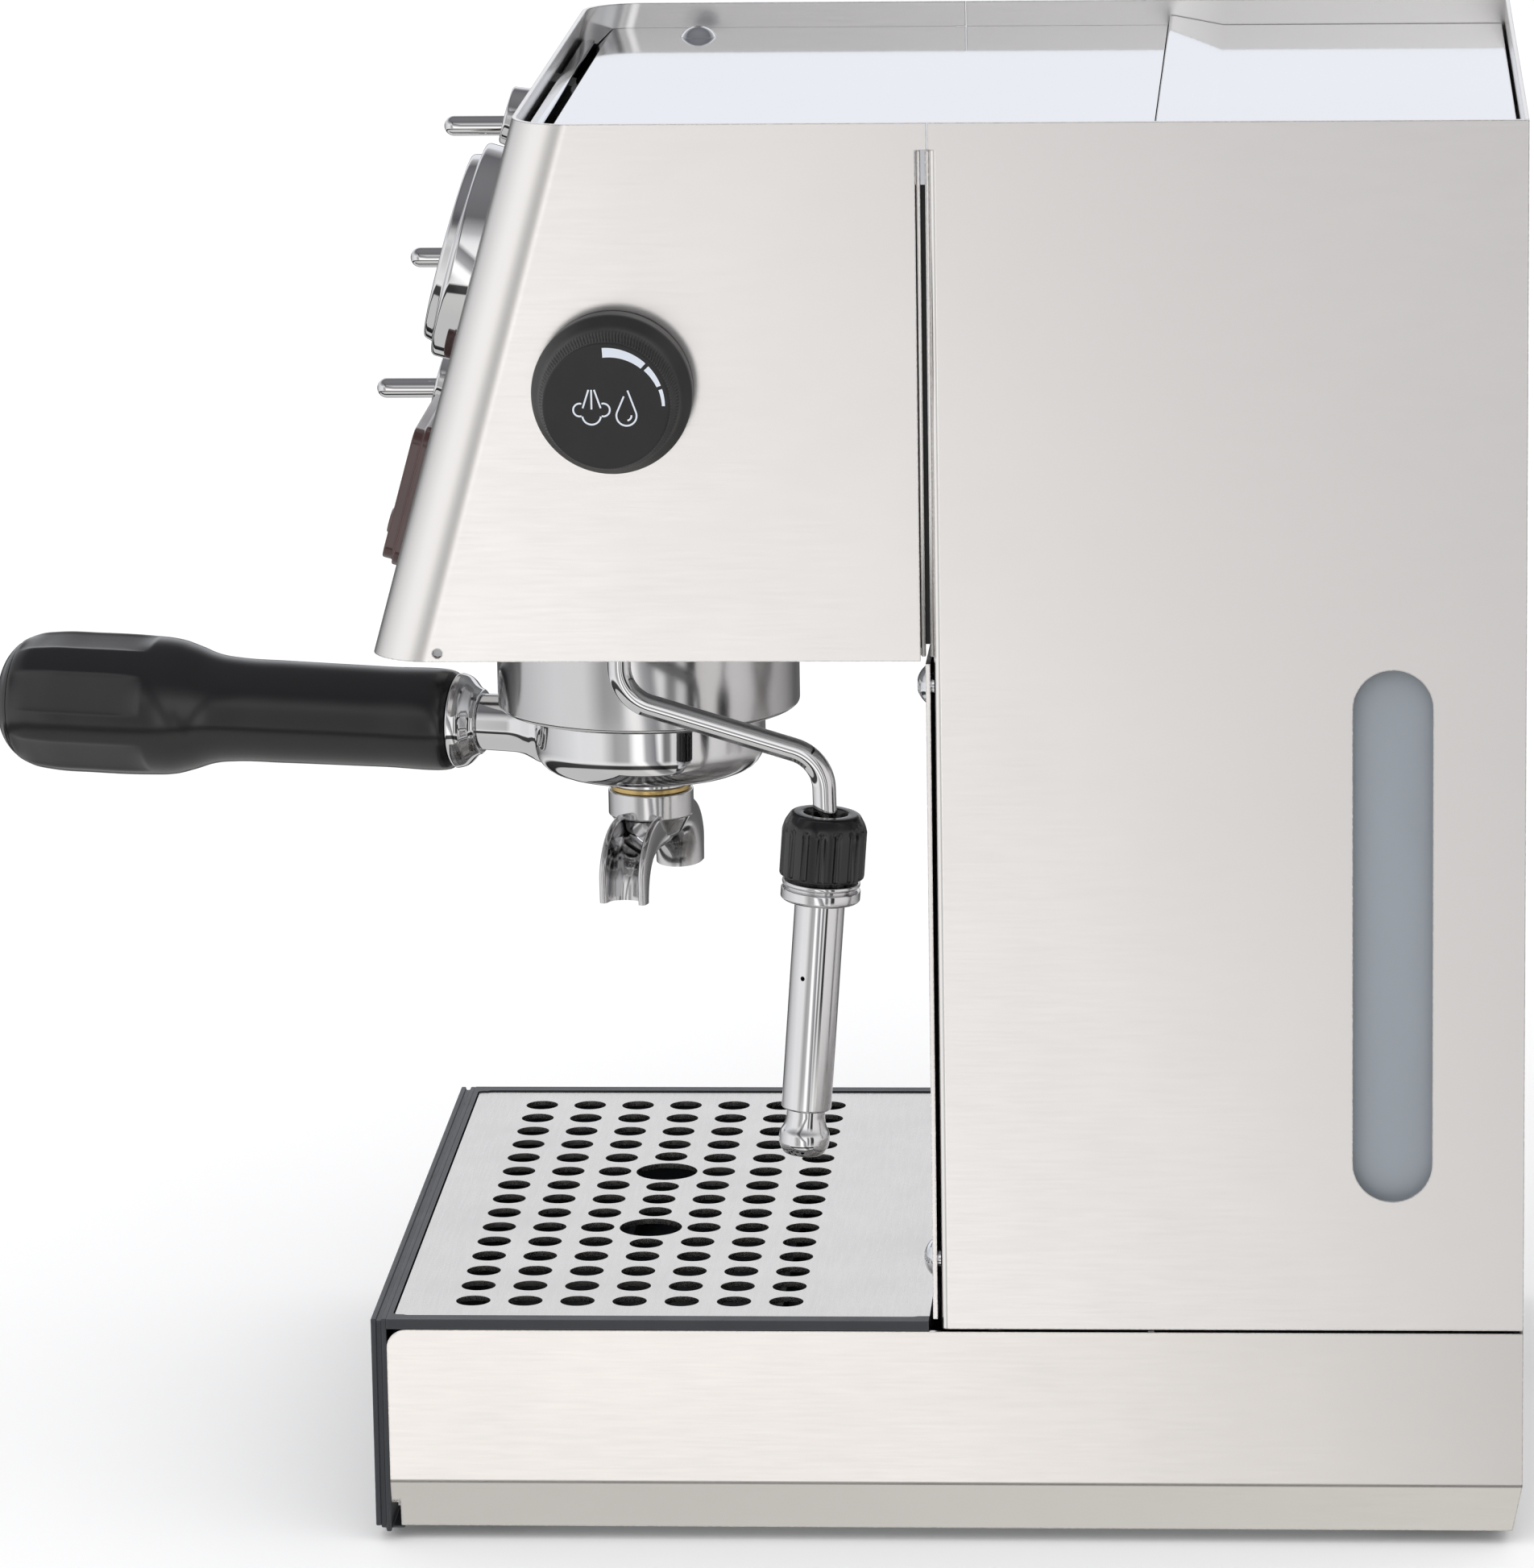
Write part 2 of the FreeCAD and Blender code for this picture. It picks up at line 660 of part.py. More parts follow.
def make_tank_valve():
    """Outlet valve clipped in the tank's floor; its nose enters the dock."""
    x, y = tank_middle()
    body = ring(6.0, 2.0, (x, y, tank_bottom - 9), (0, 0, 1), 9 + tank_wall + 0.05)
    top = ring(10.5, 3.0, (x, y, tank_bottom + tank_wall + 0.05), (0, 0, 1), 3.0)
    stem = ring(7.9, 1.9, (x, y, tank_bottom), (0, 0, 1), tank_wall)
    filter_cup = ring(7.0, 5.6, (x, y, tank_bottom + tank_wall + 3.0), (0, 0, 1), 16)
    cap = cyl(7.0, (x, y, tank_bottom + tank_wall + 19.0), (0, 0, 1), 1.6)
    return fuse([body, top, stem, filter_cup, cap])


def make_tank_dock():
    """Cup fixed on the base deck that receives the tank's outlet."""
    x, y = tank_middle()
    low = deck_z + 2.0
    cup = ring(11.0, 6.4, (x, y, low), (0, 0, 1), tank_bottom - 1.0 - low)
    foot = ring(17.0, 3.2, (x, y, deck_z + 2.0), (0, 0, 1), 2.0)
    return fuse([cup, foot])


def deck_plate():
    """Folded deck over the rear of the base: it carries the tank, the pump and the frame."""
    y0 = tower_side_y + 2 * sheet
    w = inner_half - 0.3
    rear = body_depth - sheet - 0.4
    deck = box(-w, w, y0 + 12, rear, deck_z, deck_z + 2.0)
    legs = [box(s * w - (2 if s > 0 else 0), s * w + (0 if s > 0 else 2), y0 + 12, rear - 40, plate_z + 9,
                deck_z) for s in (-1, 1)]
    front = box(-w + 8, w - 8, y0 + 12, y0 + 14, plate_z + sheet + 0.05, deck_z)
    deck = fuse([deck, front] + legs)
    x, y = tank_middle()
    deck = deck.cut(cyl(3.3, (x, y, deck_z - 1), (0, 0, 1), 5))
    return deck.cut(box(inlet_x - 20, inlet_x + 20, rear - 30, rear + 5, deck_z - 30, deck_z + 5))


def frame_plate():
    """Upright plate between the tank bay and the machinery, with turned feet."""
    y = lid_front_y - 3.0
    plate = box(-inner_half + 1, inner_half - 1, y, y + 1.6, deck_z + 2.0, tray_z - 14)
    foot = box(-inner_half + 1, inner_half - 1, y - 12, y + 1.6, deck_z + 2.0, deck_z + 3.6)
    shelf = box(-inner_half + 16, inner_half - 16, y - 12, y + 1.6, head_bottom + sheet + 2.2,
                head_bottom + sheet + 3.8)
    plate = fuse([plate, foot, shelf])
    for z in (90, 150):
        plate = plate.cut(cyl(9, (-55, y - 2, z), (0, 1, 0), 6))
    return plate.cut(cyl(6, (tank_middle()[0], y - 2, deck_z + 12), (0, 1, 0), 6))


# ---------------------------------------------------------------- drip tray
def make_drip_bin():
    """Black tray with a broad rim that lies over the base's side walls."""
    w = inner_half - bin_side_gap
    rear = tower_front_y - 1.2
    bottom = base_top - bin_depth
    outer = rounded_box(-w, w, 1.0, rear, bottom, base_top + 0.2, 4.0)
    inner = rounded_box(-w + bin_wall, w - bin_wall, 1.0 + bin_wall, rear - bin_wall, bottom + bin_wall,
                        rim_top + 1, 3.0)
    rim = box(-half_width, half_width, 0, rear, base_top + 0.2, rim_top)
    rim_hole = rounded_box(-half_width + rim_width, half_width - rim_width, 1.3, rear + 1,
                           grate_top - grate_thickness - 0.3, rim_top + 1, 1.5)
    lower_hole = box(-half_width + rim_width + 4, half_width - rim_width - 4, 1.0 + bin_wall,
                     rear - bin_wall, base_top - 1, rim_top + 1)
    tray = outer.fuse(rim).cut(inner).cut(lower_hole).cut(rim_hole)
    ledges = [box(s * (w - bin_wall) - (6 if s > 0 else 0), s * (w - bin_wall) + (0 if s > 0 else 6), 3,
                  rear - 2, grate_top - grate_thickness - 2.0, grate_top - grate_thickness - 0.3)
              for s in (-1, 1)]
    ribs = [box(-w + 3, w - 3, y, y + 1.4, bottom + 1, bottom + 9) for y in (48, 95)]
    return fuse([tray] + ledges + ribs)


def make_drip_fascia():
    """Front strip of the tray: three stacked layers, the middle one set back, curling under below."""
    low = base_bottom - fascia_below_base
    step = fascia_thickness / 3.0
    layers = []
    for i in range(3):
        inset = 0.7 * (i % 2)
        raised = 0.8 * i
        layers.append(box(-half_width + inset, half_width - inset, -(i + 1) * step, -i * step,
                          low + raised, rim_top - inset))
    curl = box(-half_width + 3.0, half_width - 3.0, -0.01, fascia_curl, low, base_bottom - 0.3)
    return fuse(layers + [curl])


def grate_holes():
    """Places and radii of the grate's holes; the two big ones push their neighbours away."""
    middle_row = hole_rows // 2
    middle_column = hole_columns // 2
    big = [(middle_row - big_hole_step, middle_column), (middle_row + big_hole_step, middle_column)]
    places = []
    for row in range(hole_rows):
        for column in range(hole_columns):
            x = (middle_row - row) * hole_pitch
            y = group_y + (column - middle_column) * hole_pitch
            radius = hole_radius
            if (row, column) in big:
                radius = big_hole_radius
            for big_row, big_column in big:
                if column == big_column and abs(row - big_row) == 1:
                    x -= (row - big_row) * hole_push
                if row == big_row and abs(column - big_column) == 1:
                    y += (column - big_column) * hole_push * 0.5
            places.append((x, y, radius))
    return places


def make_drip_grate():
    """Pierced steel plate with turned-down edges."""
    w = half_width - rim_width - 0.4
    y1 = tower_front_y - 1.2
    plate = rounded_box(-w, w, 1.7, y1, grate_top - grate_thickness, grate_top, 1.2)
    holes = [cyl(radius, (x, y, grate_top - 3), (0, 0, 1), 6) for x, y, radius in grate_holes()]
    return plate.cut(group_of(holes))


# ---------------------------------------------------------------- group and portafilter
def make_group_ring():
    """Group bell: broad flange above, bayonet groove and two entry gaps inside."""
    top = head_bottom
    lower = group_bottom
    r = group_radius
    profile = [(group_bore_radius, lower), (r - 3.0, lower), (r, lower + 3.0), (r, lower + 20),
               (r - 4, lower + 26), (r - 5, top), (12.0, top), (12.0, top - 7.0),
               (screen_seat_radius, top - 7.0),
               (screen_seat_radius, gasket_top), (ear_radius + ear_gap, gasket_top),
               (ear_radius + ear_gap, groove_low),
               (group_bore_radius, groove_low)]
    bell = turned(profile, (0, group_y, 0))
    gap_angle = 46.0
    for side in (0, 180):
        wedge = ear_wedge(ear_radius + ear_gap, ear_width + 8.0, lower - 1, groove_low + 1)
        wedge.rotate(V(0, group_y, 0), V(0, 0, 1), side - handle_turn - unlock_turn - gap_angle)
        bell = bell.cut(wedge)
    return bell


def ear_wedge(radius, width, z0, z1):
    """One bayonet ear, a slice of disc standing out to +X from the group's axis."""
    slab = box(bowl_radius - 4, radius + 5, group_y - width / 2, group_y + width / 2, z0, z1)
    return slab.common(cyl(radius, (0, group_y, z0), (0, 0, 1), z1 - z0))


def make_group_gasket():
    return ring(ear_radius - 0.4, screen_seat_radius + 0.1, (0, group_y, bowl_top + 0.95), (0, 0, 1),
                gasket_top - bowl_top - 1.0)


def make_shower_screen():
    """Dished screen with rings of fine holes and a turned-up edge."""
    top = head_bottom - 7.0
    z = gasket_top - 6.0
    r = screen_seat_radius - screen_gap
    disc = cyl(r, (0, group_y, z), (0, 0, 1), 1.0)
    wall = ring(r, r - 1.0, (0, group_y, z), (0, 0, 1), top - 0.2 - z)
    screen = fuse([disc, wall])
    holes = []
    for radius, count in ((8.0, 8), (12.5, 12), (17.0, 18), (21.5, 24)):
        for i in range(count):
            angle = 2 * math.pi * i / count
            holes.append(cyl(0.9, (radius * math.cos(angle), group_y + radius * math.sin(angle), z - 1),
                             (0, 0, 1), 3))
    screen = screen.cut(group_of(holes))
    return screen.cut(cyl(2.6, (0, group_y, z - 1), (0, 0, 1), 3))


def screen_screw():
    z = gasket_top - 6.0
    head = cyl(5.0, (0, group_y, z - 2.0), (0, 0, 1), 1.95)
    shank = cyl(2.4, (0, group_y, z - 1), (0, 0, 1), head_bottom - 7.2 - z + 1)
    return fuse([head, shank]).cut(box(-4, 4, group_y - 0.6, group_y + 0.6, z - 3, z - 1.2))


def group_bolts():
    bolts = []
    z = head_bottom + sheet + 2.1
    for x, y in group_bolt_places():
        head = Part.makeCylinder(4.4, 3.4, V(x, y, z))
        shank = Part.makeCylinder(2.5, z - head_bottom, V(x, y, head_bottom))
        bolts.append(head.fuse(shank))
    return bolts


def make_portafilter_body():
    """Bowl with bayonet ears, floor and neck."""
    r = bowl_radius
    low = bowl_bottom
    profile = [(6.0, low - 4.0), (11.0, low - 4.0), (11.0, low), (r - 6.0, low), (r - 2.0, low + 2.0),
               (r, low + 6.0), (r, bowl_top), (r - bowl_wall, bowl_top),
               (r - bowl_wall, low + 8.0), (r - 8.0, low + 3.0), (6.0, low + 3.0)]
    bowl = turned(profile, (0, group_y, 0))
    ears = []
    for side in (0, 180):
        ear = ear_wedge(ear_radius, ear_width, bowl_top - ear_height, bowl_top)
        ear = ear.cut(cyl(r - bowl_wall, (0, group_y, bowl_top - ear_height - 1), (0, 0, 1),
                          ear_height + 2))
        ear.rotate(V(0, group_y, 0), V(0, 0, 1), side)
        ears.append(ear)
    neck = cone(7.6, 7.0, (0, group_y - r + 1.5, handle_axis_z), (0, -1, 0), ferrule_start - r + 1.5)
    web = box(-3.2, 3.2, group_y - r - 9, group_y - r + 1.0, handle_axis_z - 5, group_bottom - 2.0)
    stud = cyl(4.0, (0, group_y - ferrule_start + 0.5, handle_axis_z), (0, -1, 0), 42.0)
    inner = cyl(r - 0.4, (0, group_y, low + 7), (0, 0, 1), bowl_top - low)
    neck = fuse([neck, web, stud]).cut(inner)
    ear_turn = [turn_handle(e) for e in ears]
    return fuse([bowl, turn_handle(neck)] + ear_turn)


def make_ferrule():
    """Flared chrome ring between the neck and the grip."""
    length = ferrule_length
    profile = [(4.05, 0.05), (9.0, 0.05), (10.2, 1.4), (12.6, length * 0.6),
               (grip_neck_radius - 0.3, length),
               (4.05, length)]
    return turned(profile, along_handle(ferrule_start), (axis_cos, axis_sin, 0))


def grip_profile():
    """Half outline of the grip from the neck end to the cap's seam, as (distance, radius)."""
    tail = handle_length - cap_length
    return [(grip_start, grip_neck_radius - 1.0), (grip_start + 1.5, grip_neck_radius),
            (grip_start + 22, grip_neck_radius + 0.4), (grip_start + 55, grip_neck_radius + 1.0),
            (grip_start + 68, grip_neck_radius + 2.6), (grip_start + 82, grip_radius - 0.6),
            (grip_start + 96, grip_radius), (tail, grip_radius - 0.9)]


def handle_solid(points, start):
    """A solid turned about the handle's axis through smooth (distance, radius) points."""
    curve = Part.BSplineCurve()
    curve.interpolate([V(r, 0, d - start) for d, r in points])
    last = points[-1][0] - start
    edges = [curve.toShape(), Part.makeLine(V(points[-1][1], 0, last), V(0, 0, last)),
             Part.makeLine(V(0, 0, last), V(0, 0, points[0][0] - start)),
             Part.makeLine(V(0, 0, points[0][0] - start), V(points[0][1], 0, points[0][0] - start))]
    solid = Part.Face(Part.Wire(edges)).revolve(V(0, 0, 0), V(0, 0, 1), 360)
    solid.Placement = FreeCAD.Placement(V(*along_handle(start)),
                                        FreeCAD.Rotation(V(0, 0, 1), V(axis_cos, axis_sin, 0)))
    return solid


def make_handle_grip():
    """Black grip with shallow lengthwise flutes round its bulb."""
    grip = handle_solid(grip_profile(), grip_start)
    bore = Part.makeCylinder(4.1, 44, V(*along_handle(grip_start - 1)), V(axis_cos, axis_sin, 0))
    grip = grip.cut(bore)
    flute_radius = 16.0
    middle = grip_start + 92
    for i in range(10):
        angle = 2 * math.pi * (i + 0.5) / 10
        reach = grip_radius + flute_radius - 0.9
        offset_side = reach * math.cos(angle)
        offset_up = reach * math.sin(angle)
        spot = along_handle(middle, offset_side, handle_axis_z + offset_up)
        grip = grip.cut(Part.makeSphere(flute_radius, V(*spot)))
    return grip


def make_handle_cap():
    """Domed end cap of the handle, with a stem into the grip's tail."""
    tail = handle_length - cap_length
    r = grip_radius - 0.9
    points = [(tail + 0.1, r), (tail + 4, r - 0.5), (tail + 8, r - 2.2), (tail + 11.5, r - 5.6),
              (handle_length - 0.6, r - 10.5), (handle_length, 0.01)]
    return handle_solid(points, tail)


def make_basket():
    """Pressed filter basket hanging by its rim in the bowl."""
    r = bowl_radius - bowl_wall - 0.7
    top = bowl_top + 0.65
    low = bowl_bottom + 9.5
    profile = [(0.01, low), (r - 5.5, low), (r - 3.4, low + 2.0), (r - 0.6, top - 0.6),
               (r + 2.6, top - 0.6),
               (r + 2.6, top), (r - 1.2, top), (r - 4.2, low + 2.4), (r - 6.0, low + 0.6),
               (0.01, low + 0.6)]
    basket = turned(profile, (0, group_y, 0))
    holes = []
    for ring_radius, count in ((5, 6), (10, 12), (15, 18), (20, 24)):
        for i in range(count):
            angle = 2 * math.pi * i / count
            spot = (ring_radius * math.cos(angle), group_y + ring_radius * math.sin(angle), low - 1)
            holes.append(cyl(0.8, spot, (0, 0, 1), 3))
    return basket.cut(group_of(holes))


def make_spout_collar():
    """Threaded collar and brass sealing ring under the bowl."""
    low = bowl_bottom - 4.0
    return ring(11.8, 6.2, (0, group_y, low - 2.6), (0, 0, 1), 2.55)


def make_twin_spout():
    """Two-way spout: hub under the bowl and a round-backed channel down to each side."""
    hub_top = bowl_bottom - 4.0 - 2.65
    hub = cyl(11.6, (0, group_y, hub_top - 5.0), (0, 0, 1), 5.0)
    shoulder = cone(11.6, 9.5, (0, group_y, hub_top - 5.0), (0, 0, -1), 4.0)
    arms = []
    for s in (-1, 1):
        elbow = (s * (spout_spread - 3), group_y, hub_top - 13)
        bar = round_bar([(0, group_y, hub_top - 5.5), elbow, (s * spout_spread, group_y, spout_tip_z)],
                        6.8, 9.0)
        arms.append(bar)
    spout = fuse([hub, shoulder] + arms)
    for s in (-1, 1):
        elbow = (s * (spout_spread - 3), group_y, hub_top - 13)
        bore = round_bar([(0, group_y, hub_top - 5.5),
                          elbow, (s * spout_spread, group_y, spout_tip_z - 1)],
                         5.0, 9.0)
        spout = spout.cut(bore)
    spout = spout.cut(cyl(5.0, (0, group_y, hub_top - 8), (0, 0, 1), 12))
    return turn_handle(spout)


# ---------------------------------------------------------------- steam valve, knob and wand
def make_steam_knob():
    """Knob: flared skirt at the panel, then a straight knurled drum with a flat face."""
    start = half_width + knob_panel_gap
    face = half_width + knob_reach
    r, skirt = knob_radius, knob_skirt_radius
    profile = [(spindle_radius + 0.03, 0.0), (skirt, 0.0), (skirt, 1.6),
               (skirt - 0.8, knob_skirt_length - 1.4),
               (r + 0.4, knob_skirt_length), (r, knob_skirt_length + 0.8), (r - 0.5, face - start - 1.2),
               (r - 1.4, face - start - 0.2), (r - 2.0, face - start), (0.01, face - start),
               (0.01, face - start - 4.0), (spindle_radius + 0.03, face - start - 4.0)]
    knob = turned(profile, (start, knob_y, knob_z), (1, 0, 0))
    for i in range(36):
        angle = 2 * math.pi * i / 36
        spot = (start + knob_skirt_length + 1.5, knob_y + (r + 0.45) * math.cos(angle),
                knob_z + (r + 0.45) * math.sin(angle))
        knob = knob.cut(cyl(0.8, spot, (1, 0, 0), face - start - knob_skirt_length - 4.0))
    return knob


def make_valve_spindle():
    start = valve_x1 - 14
    end = half_width + knob_reach - 4.3
    return cyl(spindle_radius, (start, knob_y, knob_z), (1, 0, 0), end - start)


def make_steam_valve():
    """Brass valve: body along X, bonnet nut and outlet boss over the wand's gland."""
    body = cyl(9.0, (valve_x0, knob_y, knob_z), (1, 0, 0), valve_x1 - 12 - valve_x0)
    bonnet = cyl(11.0, (valve_x1 - 12, knob_y, knob_z), (1, 0, 0), 12)
    outlet = cyl(6.0, (wand_x, knob_y, knob_z), (0, 0, -1), 18)
    inlet = cyl(5.0, (valve_x0 + 1, knob_y, knob_z), (-1, 0, 0), 10)
    valve = fuse([body, bonnet, outlet, inlet])
    bore = cyl(spindle_radius + 0.06, (valve_x1 - 15, knob_y, knob_z), (1, 0, 0), 20)
    return valve.cut(bore)


def steam_pipe():
    """Fixed copper pipe from the valve's outlet down to the wand's gland."""
    top = knob_z - 18.05
    bottom = head_bottom + sheet + 2.1 + 12.05
    return round_bar([(wand_x, knob_y, top), (wand_x, knob_y, top - 12), (wand_x, wand_y, top - 24),
                      (wand_x, wand_y, bottom)], 3.0, 4.0)


def make_wand_gland():
    """Gland nut on the head's floor in which the wand's pipe swivels."""
    z = head_bottom + sheet + 2.15
    nut = cyl(gland_radius, (wand_x, wand_y, z), (0, 0, 1), 12)
    nose = cyl(gland_radius - 1.6, (wand_x, wand_y, head_bottom - 3.0), (0, 0, 1), z - head_bottom + 3.0)
    gland = fuse([nut, nose])
    return gland.cut(cyl(wand_pipe_radius + 0.06, (wand_x, wand_y, head_bottom - 5), (0, 0, 1), 14))


def wand_path():
    top = head_bottom + 6.0
    return [(wand_x, wand_y, top), (wand_x, wand_y, 220.0), (wand_x, wand_grip_y - 0.5, 203.5),
            (wand_x, wand_grip_y, wand_grip_top - wand_grip_length * 0.6)]


def make_wand_pipe():
    return round_bar(wand_path(), wand_pipe_radius, 11.0)


def wand_way():
    lean = math.radians(wand_lean)
    return (0.0, -math.sin(lean), -math.cos(lean))


def along_wand(distance):
    """A point down the leaning tube from the grip's top."""
    way = wand_way()
    return tuple(a + b * distance for a, b in zip((wand_x, wand_grip_y, wand_grip_top), way))


def make_wand_grip():
    """Fluted black sleeve with a chrome-seated hole on top."""
    r = wand_grip_radius
    length = wand_grip_length
    profile = [(wand_pipe_radius + 0.1, 0.0), (r - 3.4, 0.0), (r - 1.0, 1.2), (r, 4.0), (r, length),
               (wand_pipe_radius + 0.1, length)]
    grip = turned(profile, along_wand(0), wand_way())
    for i in range(14):
        angle = 2 * math.pi * i / 14
        start = V(*along_wand(3.5)) + V((r + 0.7) * math.cos(angle), (r + 0.7) * math.sin(angle), 0)
        grip = grip.cut(Part.makeCylinder(1.3, length, start, V(*wand_way())))
    return grip.cut(make_wand_pipe())


def make_wand_flange():
    """Chrome collar under the grip."""
    r = wand_grip_radius + 0.1
    profile = [(3.5, 0.05), (r - 2.4, 0.05), (r - 0.6, 1.6), (r, 4.6), (r - 0.7, 6.4),
               (wand_tube_radius, 6.6),
               (3.5, 6.6)]
    return turned(profile, along_wand(wand_grip_length), wand_way())


def make_wand_tube():
    """Stainless tube of the wand, with a small air hole on its side."""
    start = wand_grip_length + 6.65
    length = wand_length - start
    r = wand_tube_radius
    profile = [(r - 1.4, 0.0), (r, 0.0), (r, length - 6.0), (r - 1.2, length - 1.5), (r - 1.6, length),
               (r - 2.4, length)]
    tube = turned(profile, along_wand(start), wand_way())
    side_hole = Part.makeCylinder(0.9, 20, V(*along_wand(start + 20)), V(1, -0.5, 0))
    return tube.cut(side_hole)


def make_wand_tip():
    """Screw-on tip: waist, bulb and closed round end with a steam hole."""
    r = wand_tube_radius
    end = wand_tip_length
    profile = [(0.01, 0.05), (r - 1.6, 0.05), (r - 1.6, end - 9.8), (r - 1.0, end - 7.6),
               (r + 0.1, end - 4.8),
               (r + 0.1, end - 2.4), (r - 1.0, end - 0.6), (r - 2.0, end), (0.9, end), (0.9, 6.0),
               (0.01, 6.0)]
    return turned(profile, along_wand(wand_length), wand_way())


# ---------------------------------------------------------------- front panel controls
def make_gauge_bezel():
    """Chrome drum of the gauge, its front stepped in to the lens."""
    r, lens = gauge_radius, gauge_lens_radius
    h = gauge_height
    profile = [(gauge_body_radius + 0.1, 0.05), (r, 0.05), (r, h - 1.2), (r - 1.2, h), (lens + 2.6, h),
               (lens + 1.6, h + gauge_lens_height), (lens, h + gauge_lens_height), (lens, h - 0.6),
               (gauge_body_radius + 0.1, h - 0.6)]
    return to_panel(turned(profile, (0, 0, 0)), gauge_x, gauge_down)


def make_gauge_body():
    """Case of the gauge: open drum behind the panel with the pressure stem."""
    r = gauge_body_radius
    depth = gauge_body_depth
    case = ring(r, r - 1.2, (0, 0, -depth), (0, 0, 1), depth + gauge_height - 2.6)
    back = cyl(r, (0, 0, -depth), (0, 0, 1), 1.5)
    stem = cyl(4.5, (0, 0, -depth - 8), (0, 0, 1), 9)
    movement = cyl(9.0, (0, 0, -depth + 1.0), (0, 0, 1), depth - 7.0)
    return to_panel(fuse([case, back, stem, movement]).cut(cyl(1.06, (0, 0, -9), (0, 0, 1), 20)),
                    gauge_x, gauge_down)


def make_gauge_dial():
    """Printed dial plate inside the gauge."""
    plate = ring(gauge_body_radius - 1.4, 1.06, (0, 0, gauge_height - 5.4), (0, 0, 1), 0.8)
    return to_panel(plate, gauge_x, gauge_down)


def make_gauge_needle():
    """Needle on its pivot, resting on the dial's zero at lower left."""
    z = gauge_height - 4.0
    pivot = cyl(1.0, (0, 0, z - 10), (0, 0, 1), 12.2)
    hub = cyl(2.6, (0, 0, z), (0, 0, 1), 1.6)
    blade = Part.makePolygon([V(-0.9, -6, z), V(0.9, -6, z), V(0.35, 17, z), V(-0.35, 17, z),
                              V(-0.9, -6, z)])
    blade = Part.Face(blade).extrude(V(0, 0, 0.7))
    blade.rotate(V(0, 0, 0), V(0, 0, 1), needle_zero)
    return to_panel(fuse([pivot, hub, blade]), gauge_x, gauge_down)


def make_gauge_glass():
    """Clear disc in the bezel's step."""
    disc = cyl(gauge_lens_radius - 0.05, (0, 0, gauge_height + 0.4), (0, 0, 1), 1.8)
    return to_panel(disc, gauge_x, gauge_down)


def display_plate(width, length, z0, z1, radius):
    return rounded_box(-width / 2, width / 2, -length / 2, length / 2, z0, z1, radius)


def make_display_case():
    """Brown control module: stepped housing on the panel, electronics box behind it."""
    w, l, h = display_width, display_length, display_height
    base = display_plate(w, l, 0.05, h * 0.5, 5.0)
    upper = display_plate(w - 2.4, l - 2.4, h * 0.5, h, 4.0)
    inside = display_plate(w - 7, l - 7, -13, 0.05, 3.0)
    case = fuse([base, upper, inside])
    window = display_plate(display_window[0], display_window[1], h - 1.4, h + 1, 1.5)
    window.translate(V(0, 5.0, 0))
    case = case.cut(window)
    for side in (-1, 1):
        pocket = button_body + button_travel + button_spare
        hole = cyl(button_radius + 0.05, (side * button_spread, button_low, h - pocket), (0, 0, 1),
                   pocket + 1)
        case = case.cut(hole)
    return to_panel(case, display_x, display_down)


def make_display_lens():
    """Dark window of the control module."""
    lens = display_plate(display_window[0] - 0.3, display_window[1] - 0.3, display_height - 1.35,
                         display_height + 0.1, 1.3)
    lens.translate(V(0, 5.0, 0))
    return to_panel(lens, display_x, display_down)


def make_display_button(side):
    h = display_height
    top = h + button_proud
    profile = [(0.01, h - button_body), (button_radius, h - button_body), (button_radius, top - 0.5),
               (button_radius - 0.6, top), (0.01, top)]
    button = turned(profile, (side * button_spread, button_low, 0))
    return to_panel(button, display_x, display_down)


def make_toggle_collars():
    """Flared chrome collars round the toggle levers."""
    collars = []
    for i in range(toggle_count):
        r, h = collar_radius, collar_height
        profile = [(collar_bore, 0.05), (r, 0.05), (r, 1.2), (r - 0.5, h - 1.2), (r - 1.7, h),
                   (r - 3.0, h),
                   (collar_bore, h - 3.0)]
        collars.append(to_panel(turned(profile, (0, 0, 0)), toggle_x, toggle_down(i)))
    return group_of(collars)


def lever_pin(radius, length):
    return cyl(radius, (-length / 2, 0, toggle_pivot), (1, 0, 0), length)


def make_toggle_switches():
    """Switch blocks behind the panel, with the bushing and blade terminals."""
    switches = []
    for i in range(toggle_count):
        block = box(-7.5, 7.5, -13.5, 13.5, -26, -sheet - 0.1)
        bush = cyl(collar_bore - 0.2, (0, 0, -2), (0, 0, 1), 3.5)
        well = cyl(collar_bore - 1.2, (0, 0, toggle_pivot), (0, 0, 1), 5)
        ball = Part.makeSphere(4.1, V(0, 0, toggle_pivot))
        tabs = [box(x - 0.4, x + 0.4, -3, 3, -34, -25.5) for x in (-4.5, 0, 4.5)]
        pin_hole = lever_pin(lever_pin_radius + pin_fit, lever_pin_length + 0.2)
        block = fuse([block, bush] + tabs).cut(fuse([well, ball, pin_hole]))
        switches.append(to_panel(block, toggle_x, toggle_down(i)))
    return group_of(switches)


def make_toggle_lever(i):
    """Round lever with a domed end, a ball and a cross pin at its pivot, in its lower position."""
    ball = Part.makeSphere(3.8, V(0, 0, toggle_pivot))
    rod = cyl(lever_radius * 0.62, (0, 0, toggle_pivot), (0, 0, 1), collar_height)
    top = lever_reach - lever_radius
    bar = cyl(lever_radius, (0, 0, collar_height * 0.35), (0, 0, 1), top - collar_height * 0.35)
    dome = Part.makeSphere(lever_radius, V(0, 0, top))
    lever = fuse([ball, rod, bar, dome, lever_pin(lever_pin_radius, lever_pin_length)])
    lever.rotate(V(0, 0, toggle_pivot), V(1, 0, 0), slope_angle)
    return to_panel(lever, toggle_x, toggle_down(i))


